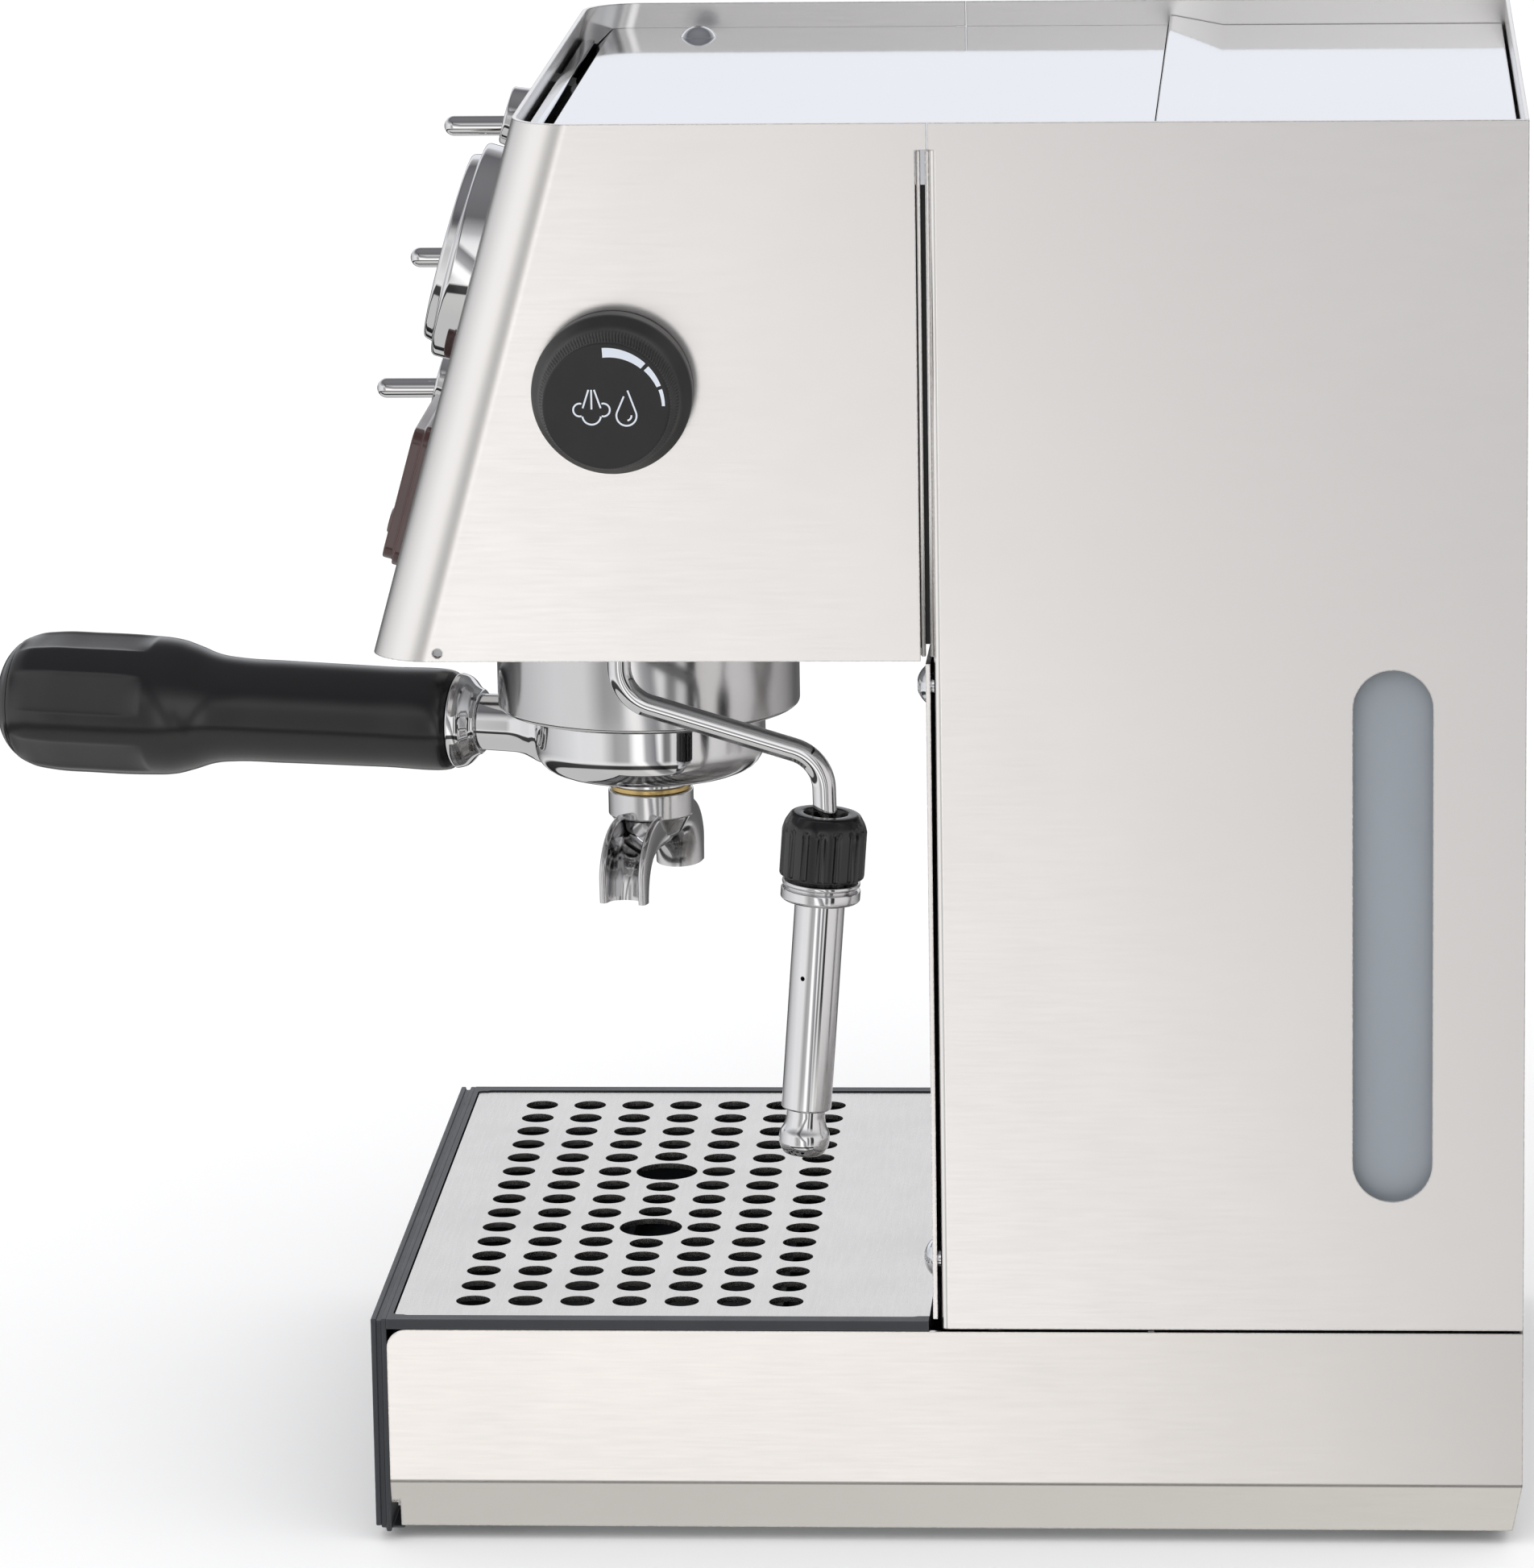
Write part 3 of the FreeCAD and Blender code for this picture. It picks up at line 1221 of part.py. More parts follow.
# ---------------------------------------------------------------- machinery inside
def make_boiler_lower():
    z = head_bottom + 0.1
    half = boiler_height / 2
    cup = cyl(boiler_radius - 8, (0, group_y, z), (0, 0, 1), 8).fuse(
        [cyl(boiler_radius - 5.5, (0, group_y, z + 7.5), (0, 0, 1), half - 7.5)])
    flange = cyl(boiler_flange_radius, (0, group_y, z + half - 5), (0, 0, 1), 5)
    hollow = cyl(boiler_radius - 9, (0, group_y, z + 12), (0, 0, 1), half)
    shell = fuse([cup, flange]).cut(hollow)
    for x, y in boiler_bolt_places():
        shell = shell.cut(cyl(2.6, (x, y, z), (0, 0, 1), boiler_height))
    return shell


def boiler_bolt_places():
    r = boiler_flange_radius - 4.5
    return [(r * math.cos(math.radians(60 * i + 30)), group_y + r * math.sin(math.radians(60 * i + 30)))
            for i in range(6)]


def make_boiler_upper():
    z = head_bottom + 0.1 + boiler_height / 2 + 1.5
    half = boiler_height / 2
    cup = cyl(boiler_radius - 3, (0, group_y, z), (0, 0, 1), half)
    cup = round_corners(cup, 6.0, lambda e: abs(e.BoundBox.ZMin - z - half) < 0.01
                        and e.BoundBox.XLength > 10)
    flange = cyl(boiler_flange_radius, (0, group_y, z), (0, 0, 1), 5)
    hollow = cyl(boiler_radius - 9, (0, group_y, z - 1), (0, 0, 1), half - 5)
    shell = fuse([cup, flange]).cut(hollow)
    for x, y in boiler_bolt_places():
        shell = shell.cut(cyl(2.6, (x, y, z - 1), (0, 0, 1), boiler_height))
    for s in (-1, 1):
        shell = shell.cut(cyl(element_radius + 0.1, (s * element_spread, group_y, z), (0, 0, 1),
                              boiler_height))
    return shell


def boiler_bolts():
    z = head_bottom + boiler_height / 2
    bolts = []
    for x, y in boiler_bolt_places():
        head = cyl(4.2, (x, y, z + 6.65), (0, 0, 1), 4)
        shank = cyl(2.4, (x, y, z - 8), (0, 0, 1), 15)
        nut = cyl(4.2, (x, y, z - 8.9), (0, 0, 1), 3.9)
        bolts.append(fuse([head, shank, nut]))
    return bolts


def make_inner_fasteners():
    """Screws and bolts inside and below: feet, shower screen, group flange and boiler halves."""
    return group_of(foot_screws() + [screen_screw()] + group_bolts() + boiler_bolts())


def make_heating_element():
    """Hairpin element in the boiler, its two ends up through the top with blade terminals."""
    low = head_bottom + boiler_height / 2 + 6.0
    high = boiler_top() + 8.0
    r = element_spread
    hairpin = round_bar([(-r, group_y, high), (-r, group_y, low), (r, group_y, low), (r, group_y, high)],
                        element_radius, 8.0)
    tabs = [box(s * r - 0.5, s * r + 0.5, group_y - 3, group_y + 3, high - 1, high + 8) for s in (-1, 1)]
    return fuse([hairpin] + tabs)


def boiler_top():
    return head_bottom + 0.1 + boiler_height + 1.5


def make_solenoid():
    """Three-way brew valve behind the boiler: brass foot, coil and frame."""
    y = group_y + 58
    z = head_bottom + sheet + 2.2
    foot = box(-13, 13, y - 13, y + 13, z, z + 16)
    coil = rounded_box(-14, 14, y - 15, y + 15, z + 16, z + 50, 4)
    cap = cyl(5, (0, y, z + 50), (0, 0, 1), 5)
    return fuse([foot, coil, cap])


def make_pump():
    """Vibration pump lying across the tower on its rubber mounts."""
    y, z = pump_y, pump_z
    coil = rounded_box(-32, 8, y - 17, y + 17, z - 19, z + 19, 5)
    core = cyl(11, (-48, y, z), (1, 0, 0), 76)
    outlet = cyl(7, (28, y, z), (1, 0, 0), 16)
    inlet = cyl(5, (-62, y, z), (1, 0, 0), 15)
    return fuse([coil, core, outlet, inlet])


def pump_bracket():
    z1 = pump_z - 24.1
    top = box(-52, 22, pump_y - 18, pump_y + 18, z1 - 2, z1)
    legs = [box(x - 1, x + 1, pump_y - 18, pump_y + 18, deck_z + 2.0, z1) for x in (-51, 21)]
    return fuse([top] + legs)


def suction_hose():
    """Silicone hose from the tank's dock to the pump's inlet."""
    x, y = tank_middle()
    low = deck_z - 9.0
    return round_bar([(x, y, deck_z + 1.5), (x, y, low), (x - 60, y, low),
                      (x - 62, tower_side_y + 22, low - 2),
                      (x - 64, tower_side_y + 22, low - 2)], 3.0, 9.0)


def feed_pipe():
    """Pressure pipe from the pump up to the brew valve."""
    level = head_bottom + 24.5
    return round_bar([(pump_outlet_x + 0.1, pump_y, pump_z), (feed_x, pump_y, pump_z),
                      (feed_x, pump_y, level),
                      (feed_x - 12, group_y + 58, level), (14.2, group_y + 58, level)], 2.4, 6.0)


def boiler_pipe():
    """Steam pipe from the boiler's top to the steam valve."""
    top = boiler_top()
    return round_bar([(20, group_y - 4, top + 0.1), (20, group_y - 4, top + 9), (44, knob_y, knob_z),
                      (valve_x0 - 9.1, knob_y, knob_z)], 2.5, 5.0)


def make_inner_frame():
    """Welded inner frame: deck over the base, upright plate and pump bracket."""
    return fuse([deck_plate(), frame_plate(), pump_bracket()])


def make_water_lines():
    """Fixed hose and pipes between tank, pump, brew valve, boiler and steam valve."""
    return group_of([suction_hose(), feed_pipe(), boiler_pipe(), steam_pipe()])


def make_control_box():
    """Controller housing on the frame plate at the left of the tank bay."""
    x0, x1 = -inner_half + 8, tank_left - 12
    y0 = lid_front_y + 1.0
    box_body = rounded_box(x0, x1, y0, y0 + 36, 190, 300, 3)
    fins = [box(x0 + 10 + i * 9, x0 + 13 + i * 9, y0 + 36, y0 + 44, 200, 290) for i in range(8)]
    return fuse([box_body] + fins)


def make_power_inlet():
    """Mains inlet in the rear wall: flange, socket well and three pins."""
    y = body_depth
    half = inlet_half
    flange = box(inlet_x - half - 2.5, inlet_x + half + 2.5, y + 0.05, y + 2.0, inlet_z - half - 3,
                 inlet_z + half + 3)
    body = box(inlet_x - half + 0.3, inlet_x + half - 0.3, y - 24, y + 0.1, inlet_z - half + 0.3,
               inlet_z + half - 0.3)
    well = box(inlet_x - half + 2, inlet_x + half - 2, y - 17, y + 5, inlet_z - 10, inlet_z + 7)
    body = fuse([flange, body]).cut(well)
    pins = [box(inlet_x + dx - 1, inlet_x + dx + 1, y - 18, y - 2, inlet_z + dz - 2.2, inlet_z + dz + 2.2)
            for dx, dz in ((-6, -3), (6, -3), (0, 2))]
    return fuse([body] + pins)


# ---------------------------------------------------------------- all pieces
def build_all():
    nodes = {
        "base_housing": make_base_housing(),
        "bottom_plate": make_bottom_plate(),
        "rubber_feet": make_feet(),
        "inner_frame": make_inner_frame(),
        "tower_shell": make_tower_shell(),
        "tower_front_cover": make_tower_front(),
        "dome_screws": make_dome_screws(),
        "rear_panel": make_rear_panel(),
        "head_shell": make_head_shell(),
        "head_floor": make_head_floor(),
        "cup_tray": make_cup_tray(),
        "tank_lid": make_tank_lid(),
        "water_tank": make_water_tank(),
        "tank_valve": make_tank_valve(),
        "tank_dock": make_tank_dock(),
        "drip_bin": make_drip_bin(),
        "drip_fascia": make_drip_fascia(),
        "drip_grate": make_drip_grate(),
        "group_ring": make_group_ring(),
        "group_gasket": make_group_gasket(),
        "shower_screen": make_shower_screen(),
        "portafilter_bowl": make_portafilter_body(),
        "handle_ferrule": make_ferrule(),
        "handle_grip": make_handle_grip(),
        "handle_cap": make_handle_cap(),
        "filter_basket": make_basket(),
        "spout_seal": make_spout_collar(),
        "twin_spout": make_twin_spout(),
        "steam_knob": make_steam_knob(),
        "valve_spindle": make_valve_spindle(),
        "steam_valve": make_steam_valve(),
        "wand_gland": make_wand_gland(),
        "wand_pipe": make_wand_pipe(),
        "wand_grip": make_wand_grip(),
        "wand_flange": make_wand_flange(),
        "wand_tube": make_wand_tube(),
        "wand_tip": make_wand_tip(),
        "gauge_bezel": make_gauge_bezel(),
        "gauge_case": make_gauge_body(),
        "gauge_dial": make_gauge_dial(),
        "gauge_needle": make_gauge_needle(),
        "gauge_glass": make_gauge_glass(),
        "display_case": make_display_case(),
        "display_lens": make_display_lens(),
        "display_button_up": make_display_button(1),
        "display_button_down": make_display_button(-1),
        "toggle_collars": make_toggle_collars(),
        "toggle_switches": make_toggle_switches(),
        "boiler_lower": make_boiler_lower(),
        "boiler_upper": make_boiler_upper(),
        "inner_fasteners": make_inner_fasteners(),
        "heating_element": make_heating_element(),
        "brew_valve": make_solenoid(),
        "pump": make_pump(),
        "water_lines": make_water_lines(),
        "control_box": make_control_box(),
        "power_inlet": make_power_inlet(),
    }
    for i, name in enumerate(("power", "brew", "steam")):
        nodes["toggle_lever_" + name] = make_toggle_lever(i)
    return nodes


def main():
    os.makedirs("parts", exist_ok=True)
    nodes = build_all()
    whole = FreeCAD.BoundBox()
    for shape in nodes.values():
        whole.add(shape.optimalBoundingBox(False, False))
    shift = V(-whole.Center.x, -whole.Center.y, 0)
    for name, shape in nodes.items():
        shape.translate(shift)
        shape.exportStep("parts/" + name + ".step")
    print("nodes", len(nodes), "shift", shift, "box", whole)


main()
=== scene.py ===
import bpy
import bmesh
import json
import math
from mathutils import Matrix, Vector

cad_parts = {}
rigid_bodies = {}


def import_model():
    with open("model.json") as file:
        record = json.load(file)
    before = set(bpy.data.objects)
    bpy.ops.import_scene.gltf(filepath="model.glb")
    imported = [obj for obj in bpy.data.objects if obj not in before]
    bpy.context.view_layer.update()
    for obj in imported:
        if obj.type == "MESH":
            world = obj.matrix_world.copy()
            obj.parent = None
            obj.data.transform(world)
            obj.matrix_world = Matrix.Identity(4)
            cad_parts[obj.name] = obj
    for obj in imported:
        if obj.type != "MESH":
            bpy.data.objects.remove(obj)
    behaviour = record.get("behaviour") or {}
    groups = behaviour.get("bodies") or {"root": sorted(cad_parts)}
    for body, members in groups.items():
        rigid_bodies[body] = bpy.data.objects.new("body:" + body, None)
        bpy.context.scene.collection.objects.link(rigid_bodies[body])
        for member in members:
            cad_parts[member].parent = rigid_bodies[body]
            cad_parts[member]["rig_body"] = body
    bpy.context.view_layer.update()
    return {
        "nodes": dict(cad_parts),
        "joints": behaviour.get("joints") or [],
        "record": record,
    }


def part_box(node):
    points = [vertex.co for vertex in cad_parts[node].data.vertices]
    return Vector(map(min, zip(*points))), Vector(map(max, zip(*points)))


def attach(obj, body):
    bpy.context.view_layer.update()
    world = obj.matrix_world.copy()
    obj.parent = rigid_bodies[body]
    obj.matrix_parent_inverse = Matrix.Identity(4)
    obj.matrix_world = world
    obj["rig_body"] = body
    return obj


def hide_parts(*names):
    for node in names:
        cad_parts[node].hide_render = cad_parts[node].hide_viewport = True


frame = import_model()

mm = 0.001      # every size in the dictionaries below is in millimetres
joints = {joint["name"]: joint for joint in frame["joints"]}


def jointPoint(name):
    return Vector(joints[name]["pos_m"])


def middleOf(node):
    low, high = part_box(node)
    return (low + high) / 2


# frames that several pieces share
groupAxis = jointPoint("portafilter_turn")
handleTurn = math.radians(joints["portafilter_turn"]["range_deg"][1])
handleZ = middleOf("handle_grip").z
panelIn = Vector(joints["gauge_sweep"]["axis"])
panelOut = -panelIn
panelSide = Vector((1, 0, 0))


def placed(origin, alongZ, alongX=None):
    # a matrix whose Z runs along alongZ and whose X is as near alongX as it can be
    z = Vector(alongZ).normalized()
    x = Vector(alongX) if alongX else (Vector((1, 0, 0)) if abs(z.x) < 0.9 else Vector((0, 1, 0)))
    x = (x - z * x.dot(z)).normalized()
    y = z.cross(x)
    turned = Matrix((x, y, z)).transposed().to_4x4()
    return Matrix.Translation(Vector(origin)) @ turned


# nodes of a finish
def newFinish(name):
    finish = bpy.data.materials.new(name)
    finish.use_nodes = True
    tree = finish.node_tree
    tree.nodes.clear()
    output = tree.nodes.new("ShaderNodeOutputMaterial")
    shader = tree.nodes.new("ShaderNodeBsdfPrincipled")
    tree.links.new(shader.outputs["BSDF"], output.inputs["Surface"])
    return finish, tree, shader


def addNode(tree, kind, inputs=None, **settings):
    node = tree.nodes.new("ShaderNode" + kind)
    for key, value in settings.items():
        setattr(node, key, value)
    for key, value in (inputs or {}).items():
        if isinstance(value, bpy.types.NodeSocket):
            tree.links.new(value, node.inputs[key])
        else:
            node.inputs[key].default_value = value
    return node


def addRamp(tree, factor, stops):
    node = addNode(tree, "ValToRGB", {"Fac": factor})
    ramp = node.color_ramp
    while len(ramp.elements) < len(stops):
        ramp.elements.new(0.5)
    for element, (place, colour) in zip(ramp.elements, stops):
        element.position = place
        element.color = (*colour, 1)
    return node.outputs["Color"]


def grain(tree, scale, stretch=(1, 1, 1), detail=4, roughness=0.6):
    # noise over the object's own metres, drawn out along an axis by stretch
    coordinates = addNode(tree, "TexCoord").outputs["Object"]
    mapping = addNode(tree, "Mapping", {"Vector": coordinates, "Scale": stretch})
    noise = addNode(tree, "TexNoise", {"Vector": mapping.outputs["Vector"], "Scale": scale,
                                       "Detail": detail, "Roughness": roughness})
    return noise.outputs["Fac"]


edgeStops = ((0.90, (1, 1, 1)), (0.992, (0, 0, 0)))


def edgeMask(tree, radius):
    # white where a corner within the radius turns the surface
    soft = addNode(tree, "Bevel", {"Radius": radius}, samples=4).outputs["Normal"]
    hard = addNode(tree, "NewGeometry").outputs["True Normal"]
    same = addNode(tree, "VectorMath", {0: soft, 1: hard}, operation="DOT_PRODUCT").outputs["Value"]
    return addRamp(tree, same, edgeStops)


def mixColours(tree, factor, first, second, how="MIX"):
    node = addNode(tree, "Mix", data_type="RGBA", blend_type=how)
    for socket, value in zip((node.inputs[0], node.inputs[6], node.inputs[7]), (factor, first, second)):
        if isinstance(value, bpy.types.NodeSocket):
            tree.links.new(value, socket)
        else:
            socket.default_value = value if isinstance(value, float) else (*value, 1)
    return node.outputs[2]


def spread(tree, value, low, high):
    node = addNode(tree, "MapRange", {"Value": value, "To Min": low, "To Max": high})
    return node.outputs["Result"]


def maths(tree, operation, *values):
    return addNode(tree, "Math", dict(enumerate(values)), operation=operation).outputs[0]


def fade(tree, value, start, end):
    # 0 at start and 1 at end
    node = addNode(tree, "MapRange", {"Value": value, "From Min": start, "From Max": end})
    return node.outputs["Result"]


def addBump(tree, shader, height, strength, distance):
    bump = addNode(tree, "Bump", {"Height": height, "Strength": strength, "Distance": distance})
    tree.links.new(bump.outputs["Normal"], shader.inputs["Normal"])


# how far brushing, blotches and worn edges show on every metal
metalWear = {"brushTint": 0.12, "edge": 0.45, "rawEdge": 0.8, "edgePaler": 1.12, "speckleScale": 2600.0,
             "speckle": ((0.38, (0.1, 0.1, 0.1)), (0.56, (1, 1, 1))), "smoothest": 0.86, "roughest": 1.18,
             "blotchRough": 0.12, "grooveDepth": 0.00001}


def makeMetal(name, tone, shade, rough, brush=(1, 1, 1), brushScale=900.0, brushDepth=0.12, blotch=60.0,
              wear=0.0004, edgeTone=None):
    m = metalWear
    finish, tree, shader = newFinish(name)
    fine = grain(tree, brushScale, brush)
    broad = grain(tree, blotch, detail=3)
    colour = mixColours(tree, broad, tone, shade)
    colour = mixColours(tree, spread(tree, fine, 0.0, m["brushTint"]), colour, shade)
    worn = edgeMask(tree, wear)
    if edgeTone:
        speckle = addRamp(tree, grain(tree, m["speckleScale"], detail=2), m["speckle"])
        worn = mixColours(tree, 1.0, worn, speckle, "MULTIPLY")
    share = spread(tree, worn, 0.0, m["rawEdge"] if edgeTone else m["edge"])
    colour = mixColours(tree, share, colour, edgeTone or [min(1, c * m["edgePaler"]) for c in tone])
    tree.links.new(colour, shader.inputs["Base Color"])
    uneven = maths(tree, "ADD", spread(tree, fine, rough * m["smoothest"], rough * m["roughest"]),
                   spread(tree, broad, -rough * m["blotchRough"], rough * m["blotchRough"]))
    tree.links.new(uneven, shader.inputs["Roughness"])
    shader.inputs["Metallic"].default_value = 1.0
    addBump(tree, shader, fine, brushDepth, m["grooveDepth"])
    return finish


plasticWear = {"blotch": 90.0, "smoothest": 0.88, "roughest": 1.14, "coatRough": 0.12, "pitDepth": 0.00004}


def makePlastic(name, tone, shade, rough, grainScale=2600.0, grainDepth=0.25, coat=0.0, wear=0.0005,
                worn=(0.12, 0.12, 0.125), wornShare=0.35, specular=0.5):
    p = plasticWear
    finish, tree, shader = newFinish(name)
    fine = grain(tree, grainScale, detail=2)
    broad = grain(tree, p["blotch"], detail=3)
    colour = mixColours(tree, broad, tone, shade)
    colour = mixColours(tree, spread(tree, edgeMask(tree, wear), 0.0, wornShare), colour, worn)
    tree.links.new(colour, shader.inputs["Base Color"])
    tree.links.new(spread(tree, broad, rough * p["smoothest"], rough * p["roughest"]),
                   shader.inputs["Roughness"])
    shader.inputs["Coat Weight"].default_value = coat
    shader.inputs["Coat Roughness"].default_value = p["coatRough"]
    shader.inputs["Specular IOR Level"].default_value = specular
    addBump(tree, shader, fine, grainDepth, p["pitDepth"])
    return finish


clearWear = {"shade": 0.86, "smoothest": 0.7, "roughest": 1.3, "stretch": (1, 1, 0.35), "ripple": 0.05,
             "rippleDepth": 0.0002}


def makeClear(name, tone, rough, transmission, ior, streak=35.0):
    c = clearWear
    finish, tree, shader = newFinish(name)
    haze = grain(tree, streak, c["stretch"], detail=3)
    colour = mixColours(tree, haze, tone, [part * c["shade"] for part in tone])
    tree.links.new(colour, shader.inputs["Base Color"])
    tree.links.new(spread(tree, haze, rough * c["smoothest"], rough * c["roughest"]),
                   shader.inputs["Roughness"])
    shader.inputs["Transmission Weight"].default_value = transmission
    shader.inputs["IOR"].default_value = ior
    addBump(tree, shader, haze, c["ripple"], c["rippleDepth"])
    return finish


satinSteel = makeMetal("satinSteel", (0.94, 0.92, 0.905), (0.90, 0.88, 0.865), 0.23, (1, 0.05, 1), 1500.0,
                       0.05, 14.0, 0.0006, (0.16, 0.14, 0.13))
baseSteel = makeMetal("baseSteel", (0.83, 0.80, 0.775), (0.79, 0.765, 0.74), 0.19, (1, 0.05, 1), 1500.0,
                      0.05, 14.0, 0.0006, (0.16, 0.14, 0.13))
mirrorSteel = makeMetal("mirrorSteel", (0.83, 0.85, 0.88), (0.78, 0.80, 0.835), 0.055, (1, 0.02, 1), 700.0,
                        0.03, 10.0)
grateSteel = makeMetal("grateSteel", (0.84, 0.82, 0.79), (0.76, 0.74, 0.715), 0.27, (0.06, 1, 1), 1300.0,
                       0.04, 26.0)
zincSteel = makeMetal("zincSteel", (0.62, 0.63, 0.64), (0.50, 0.51, 0.53), 0.38, (1, 1, 1), 420.0, 0.15, 80.0)
chromePlate = makeMetal("chromePlate", (0.78, 0.78, 0.79), (0.72, 0.72, 0.735), 0.035, (1, 1, 0.1), 800.0,
                        0.02, 30.0)
satinChrome = makeMetal("satinChrome", (0.68, 0.675, 0.68), (0.60, 0.60, 0.61), 0.13, (1, 1, 0.05), 1600.0,
                        0.05, 24.0)
pipeSteel = makeMetal("pipeSteel", (0.80, 0.80, 0.81), (0.73, 0.73, 0.745), 0.045, (1, 1, 0.05), 900.0,
                      0.03, 40.0)
bareBrass = makeMetal("bareBrass", (0.74, 0.55, 0.25), (0.52, 0.36, 0.14), 0.24, (1, 1, 1), 600.0, 0.12, 90.0)
knobPlastic = makePlastic("knobPlastic", (0.014, 0.014, 0.015), (0.010, 0.010, 0.011), 0.44, 3200.0, 0.35,
                          worn=(0.05, 0.05, 0.052))
handlePlastic = makePlastic("handlePlastic", (0.008, 0.008, 0.009), (0.006, 0.006, 0.007), 0.25, 1800.0,
                            0.06, coat=0.2, worn=(0.03, 0.03, 0.03))
gripPlastic = makePlastic("gripPlastic", (0.006, 0.006, 0.007), (0.004, 0.004, 0.005), 0.20, 2400.0, 0.06,
                          coat=0.3, worn=(0.02, 0.02, 0.02))
trayPlastic = makePlastic("trayPlastic", (0.030, 0.033, 0.038), (0.022, 0.025, 0.030), 0.40, 2200.0, 0.35)
partPlastic = makePlastic("partPlastic", (0.045, 0.046, 0.050), (0.032, 0.033, 0.036), 0.45, 1700.0, 0.4)
smokedPlastic = makePlastic("smokedPlastic", (0.060, 0.026, 0.024), (0.040, 0.018, 0.018), 0.22, 1400.0,
                            0.05, coat=0.6, worn=(0.16, 0.09, 0.08))
darkLens = makePlastic("darkLens", (0.014, 0.006, 0.007), (0.009, 0.004, 0.005), 0.07, 900.0, 0.02, coat=1.0)
mattRubber = makePlastic("mattRubber", (0.030, 0.030, 0.030), (0.020, 0.020, 0.020), 0.72, 1500.0, 0.5,
                         specular=0.3)
printInk = makePlastic("printInk", (0.62, 0.66, 0.72), (0.55, 0.59, 0.66), 0.5, 3000.0, 0.2,
                       worn=(0.7, 0.72, 0.75))
dialEnamel = makePlastic("dialEnamel", (0.84, 0.84, 0.82), (0.78, 0.78, 0.76), 0.35, 1200.0, 0.08,
                         worn=(0.8, 0.8, 0.8))
dialInk = makePlastic("dialInk", (0.02, 0.02, 0.022), (0.03, 0.03, 0.03), 0.5, 2000.0, 0.1)
mouldedPlastic = makePlastic("mouldedPlastic", (0.12, 0.12, 0.13), (0.09, 0.09, 0.10), 0.5, 1500.0, 0.4)
siliconeHose = makePlastic("siliconeHose", (0.72, 0.70, 0.67), (0.62, 0.60, 0.57), 0.42, 900.0, 0.2,
                           worn=(0.8, 0.78, 0.75))
tankPlastic = makeClear("tankPlastic", (0.60, 0.66, 0.72), 0.30, 0.55, 1.49)
gaugeGlass = makeClear("gaugeGlass", (0.97, 0.98, 0.98), 0.02, 1.0, 1.45, 90.0)
tankWater = makeClear("tankWater", (0.55, 0.63, 0.72), 0.04, 0.9, 1.33, 20.0)
print("finishes made")


# mesh helpers
def rounded(points, bend, parts=5):
    # the same outline with each inner corner turned into an arc-like curve of about that bend
    out = [Vector(points[0][:2])]
    for i in range(1, len(points) - 1):
        corner = Vector(points[i][:2])
        size = points[i][2] if len(points[i]) > 2 else bend
        before = Vector(points[i - 1][:2]) - corner
        after = Vector(points[i + 1][:2]) - corner
        reach = min(size, before.length * 0.48, after.length * 0.48)
        if reach < 0.02:
            out.append(corner)
            continue
        start = corner + before.normalized() * reach
        end = corner + after.normalized() * reach
        for k in range(parts + 1):
            t = k / parts
            out.append(start * (1 - t) ** 2 + corner * 2 * t * (1 - t) + end * t ** 2)
    out.append(Vector(points[-1][:2]))
    return [(p.x, p.y) for p in out]


def bridge(bm, first, second):
    count = max(len(first), len(second))
    if count == 1:
        return
    for i in range(count):
        j = (i + 1) % count
        if len(first) == 1:
            bm.faces.new((first[0], second[j], second[i]))
        elif len(second) == 1:
            bm.faces.new((first[i], first[j], second[0]))
        else:
            bm.faces.new((first[i], first[j], second[j], second[i]))


def shaded(mesh, sharp=35.0):
    mesh.shade_smooth()
    mesh.set_sharp_from_angle(angle=math.radians(sharp))
    return mesh


def finishMesh(bm, name, sharp=35.0):
    bmesh.ops.recalc_face_normals(bm, faces=bm.faces)
    mesh = bpy.data.meshes.new(name)
    bm.to_mesh(mesh)
    bm.free()
    return shaded(mesh, sharp)


def fromMm(x, y, z):
    return Vector((x * mm, y * mm, z * mm))


def turnedMesh(name, outline, place, steps=96, change=None, closed=False, sharp=35.0):
    # outline is (radius, height) pairs; change(angle, radius, height) gives a new radius
    bm = bmesh.new()
    rings = []
    for radius, height in outline:
        if radius < 0.001:
            rings.append([bm.verts.new(place @ fromMm(0, 0, height))])
            continue
        ring = []
        for i in range(steps):
            angle = 2 * math.pi * i / steps
            r = change(angle, radius, height) if change else radius
            ring.append(bm.verts.new(place @ fromMm(r * math.cos(angle), r * math.sin(angle), height)))
        rings.append(ring)
    for first, second in zip(rings, rings[1:]):
        bridge(bm, first, second)
    if closed:
        bridge(bm, rings[-1], rings[0])
    return finishMesh(bm, name, sharp)


def sweptMesh(name, path, sectionAt, side, sharp=40.0):
    # a closed section carried along path; its first axis stays on side, its second looks away from the path
    bm = bmesh.new()
    rings = []
    for i, point in enumerate(path):
        ahead = path[min(i + 1, len(path) - 1)] - path[max(i - 1, 0)]
        across = Vector(side).normalized()
        outward = across.cross(ahead).normalized()
        section = sectionAt(i / (len(path) - 1))
        rings.append([bm.verts.new(point + across * (u * mm) + outward * (v * mm)) for u, v in section])
    for first, second in zip(rings, rings[1:]):
        bridge(bm, first, second)
    bm.faces.new(rings[0])
    bm.faces.new(rings[-1])
    return finishMesh(bm, name, sharp)


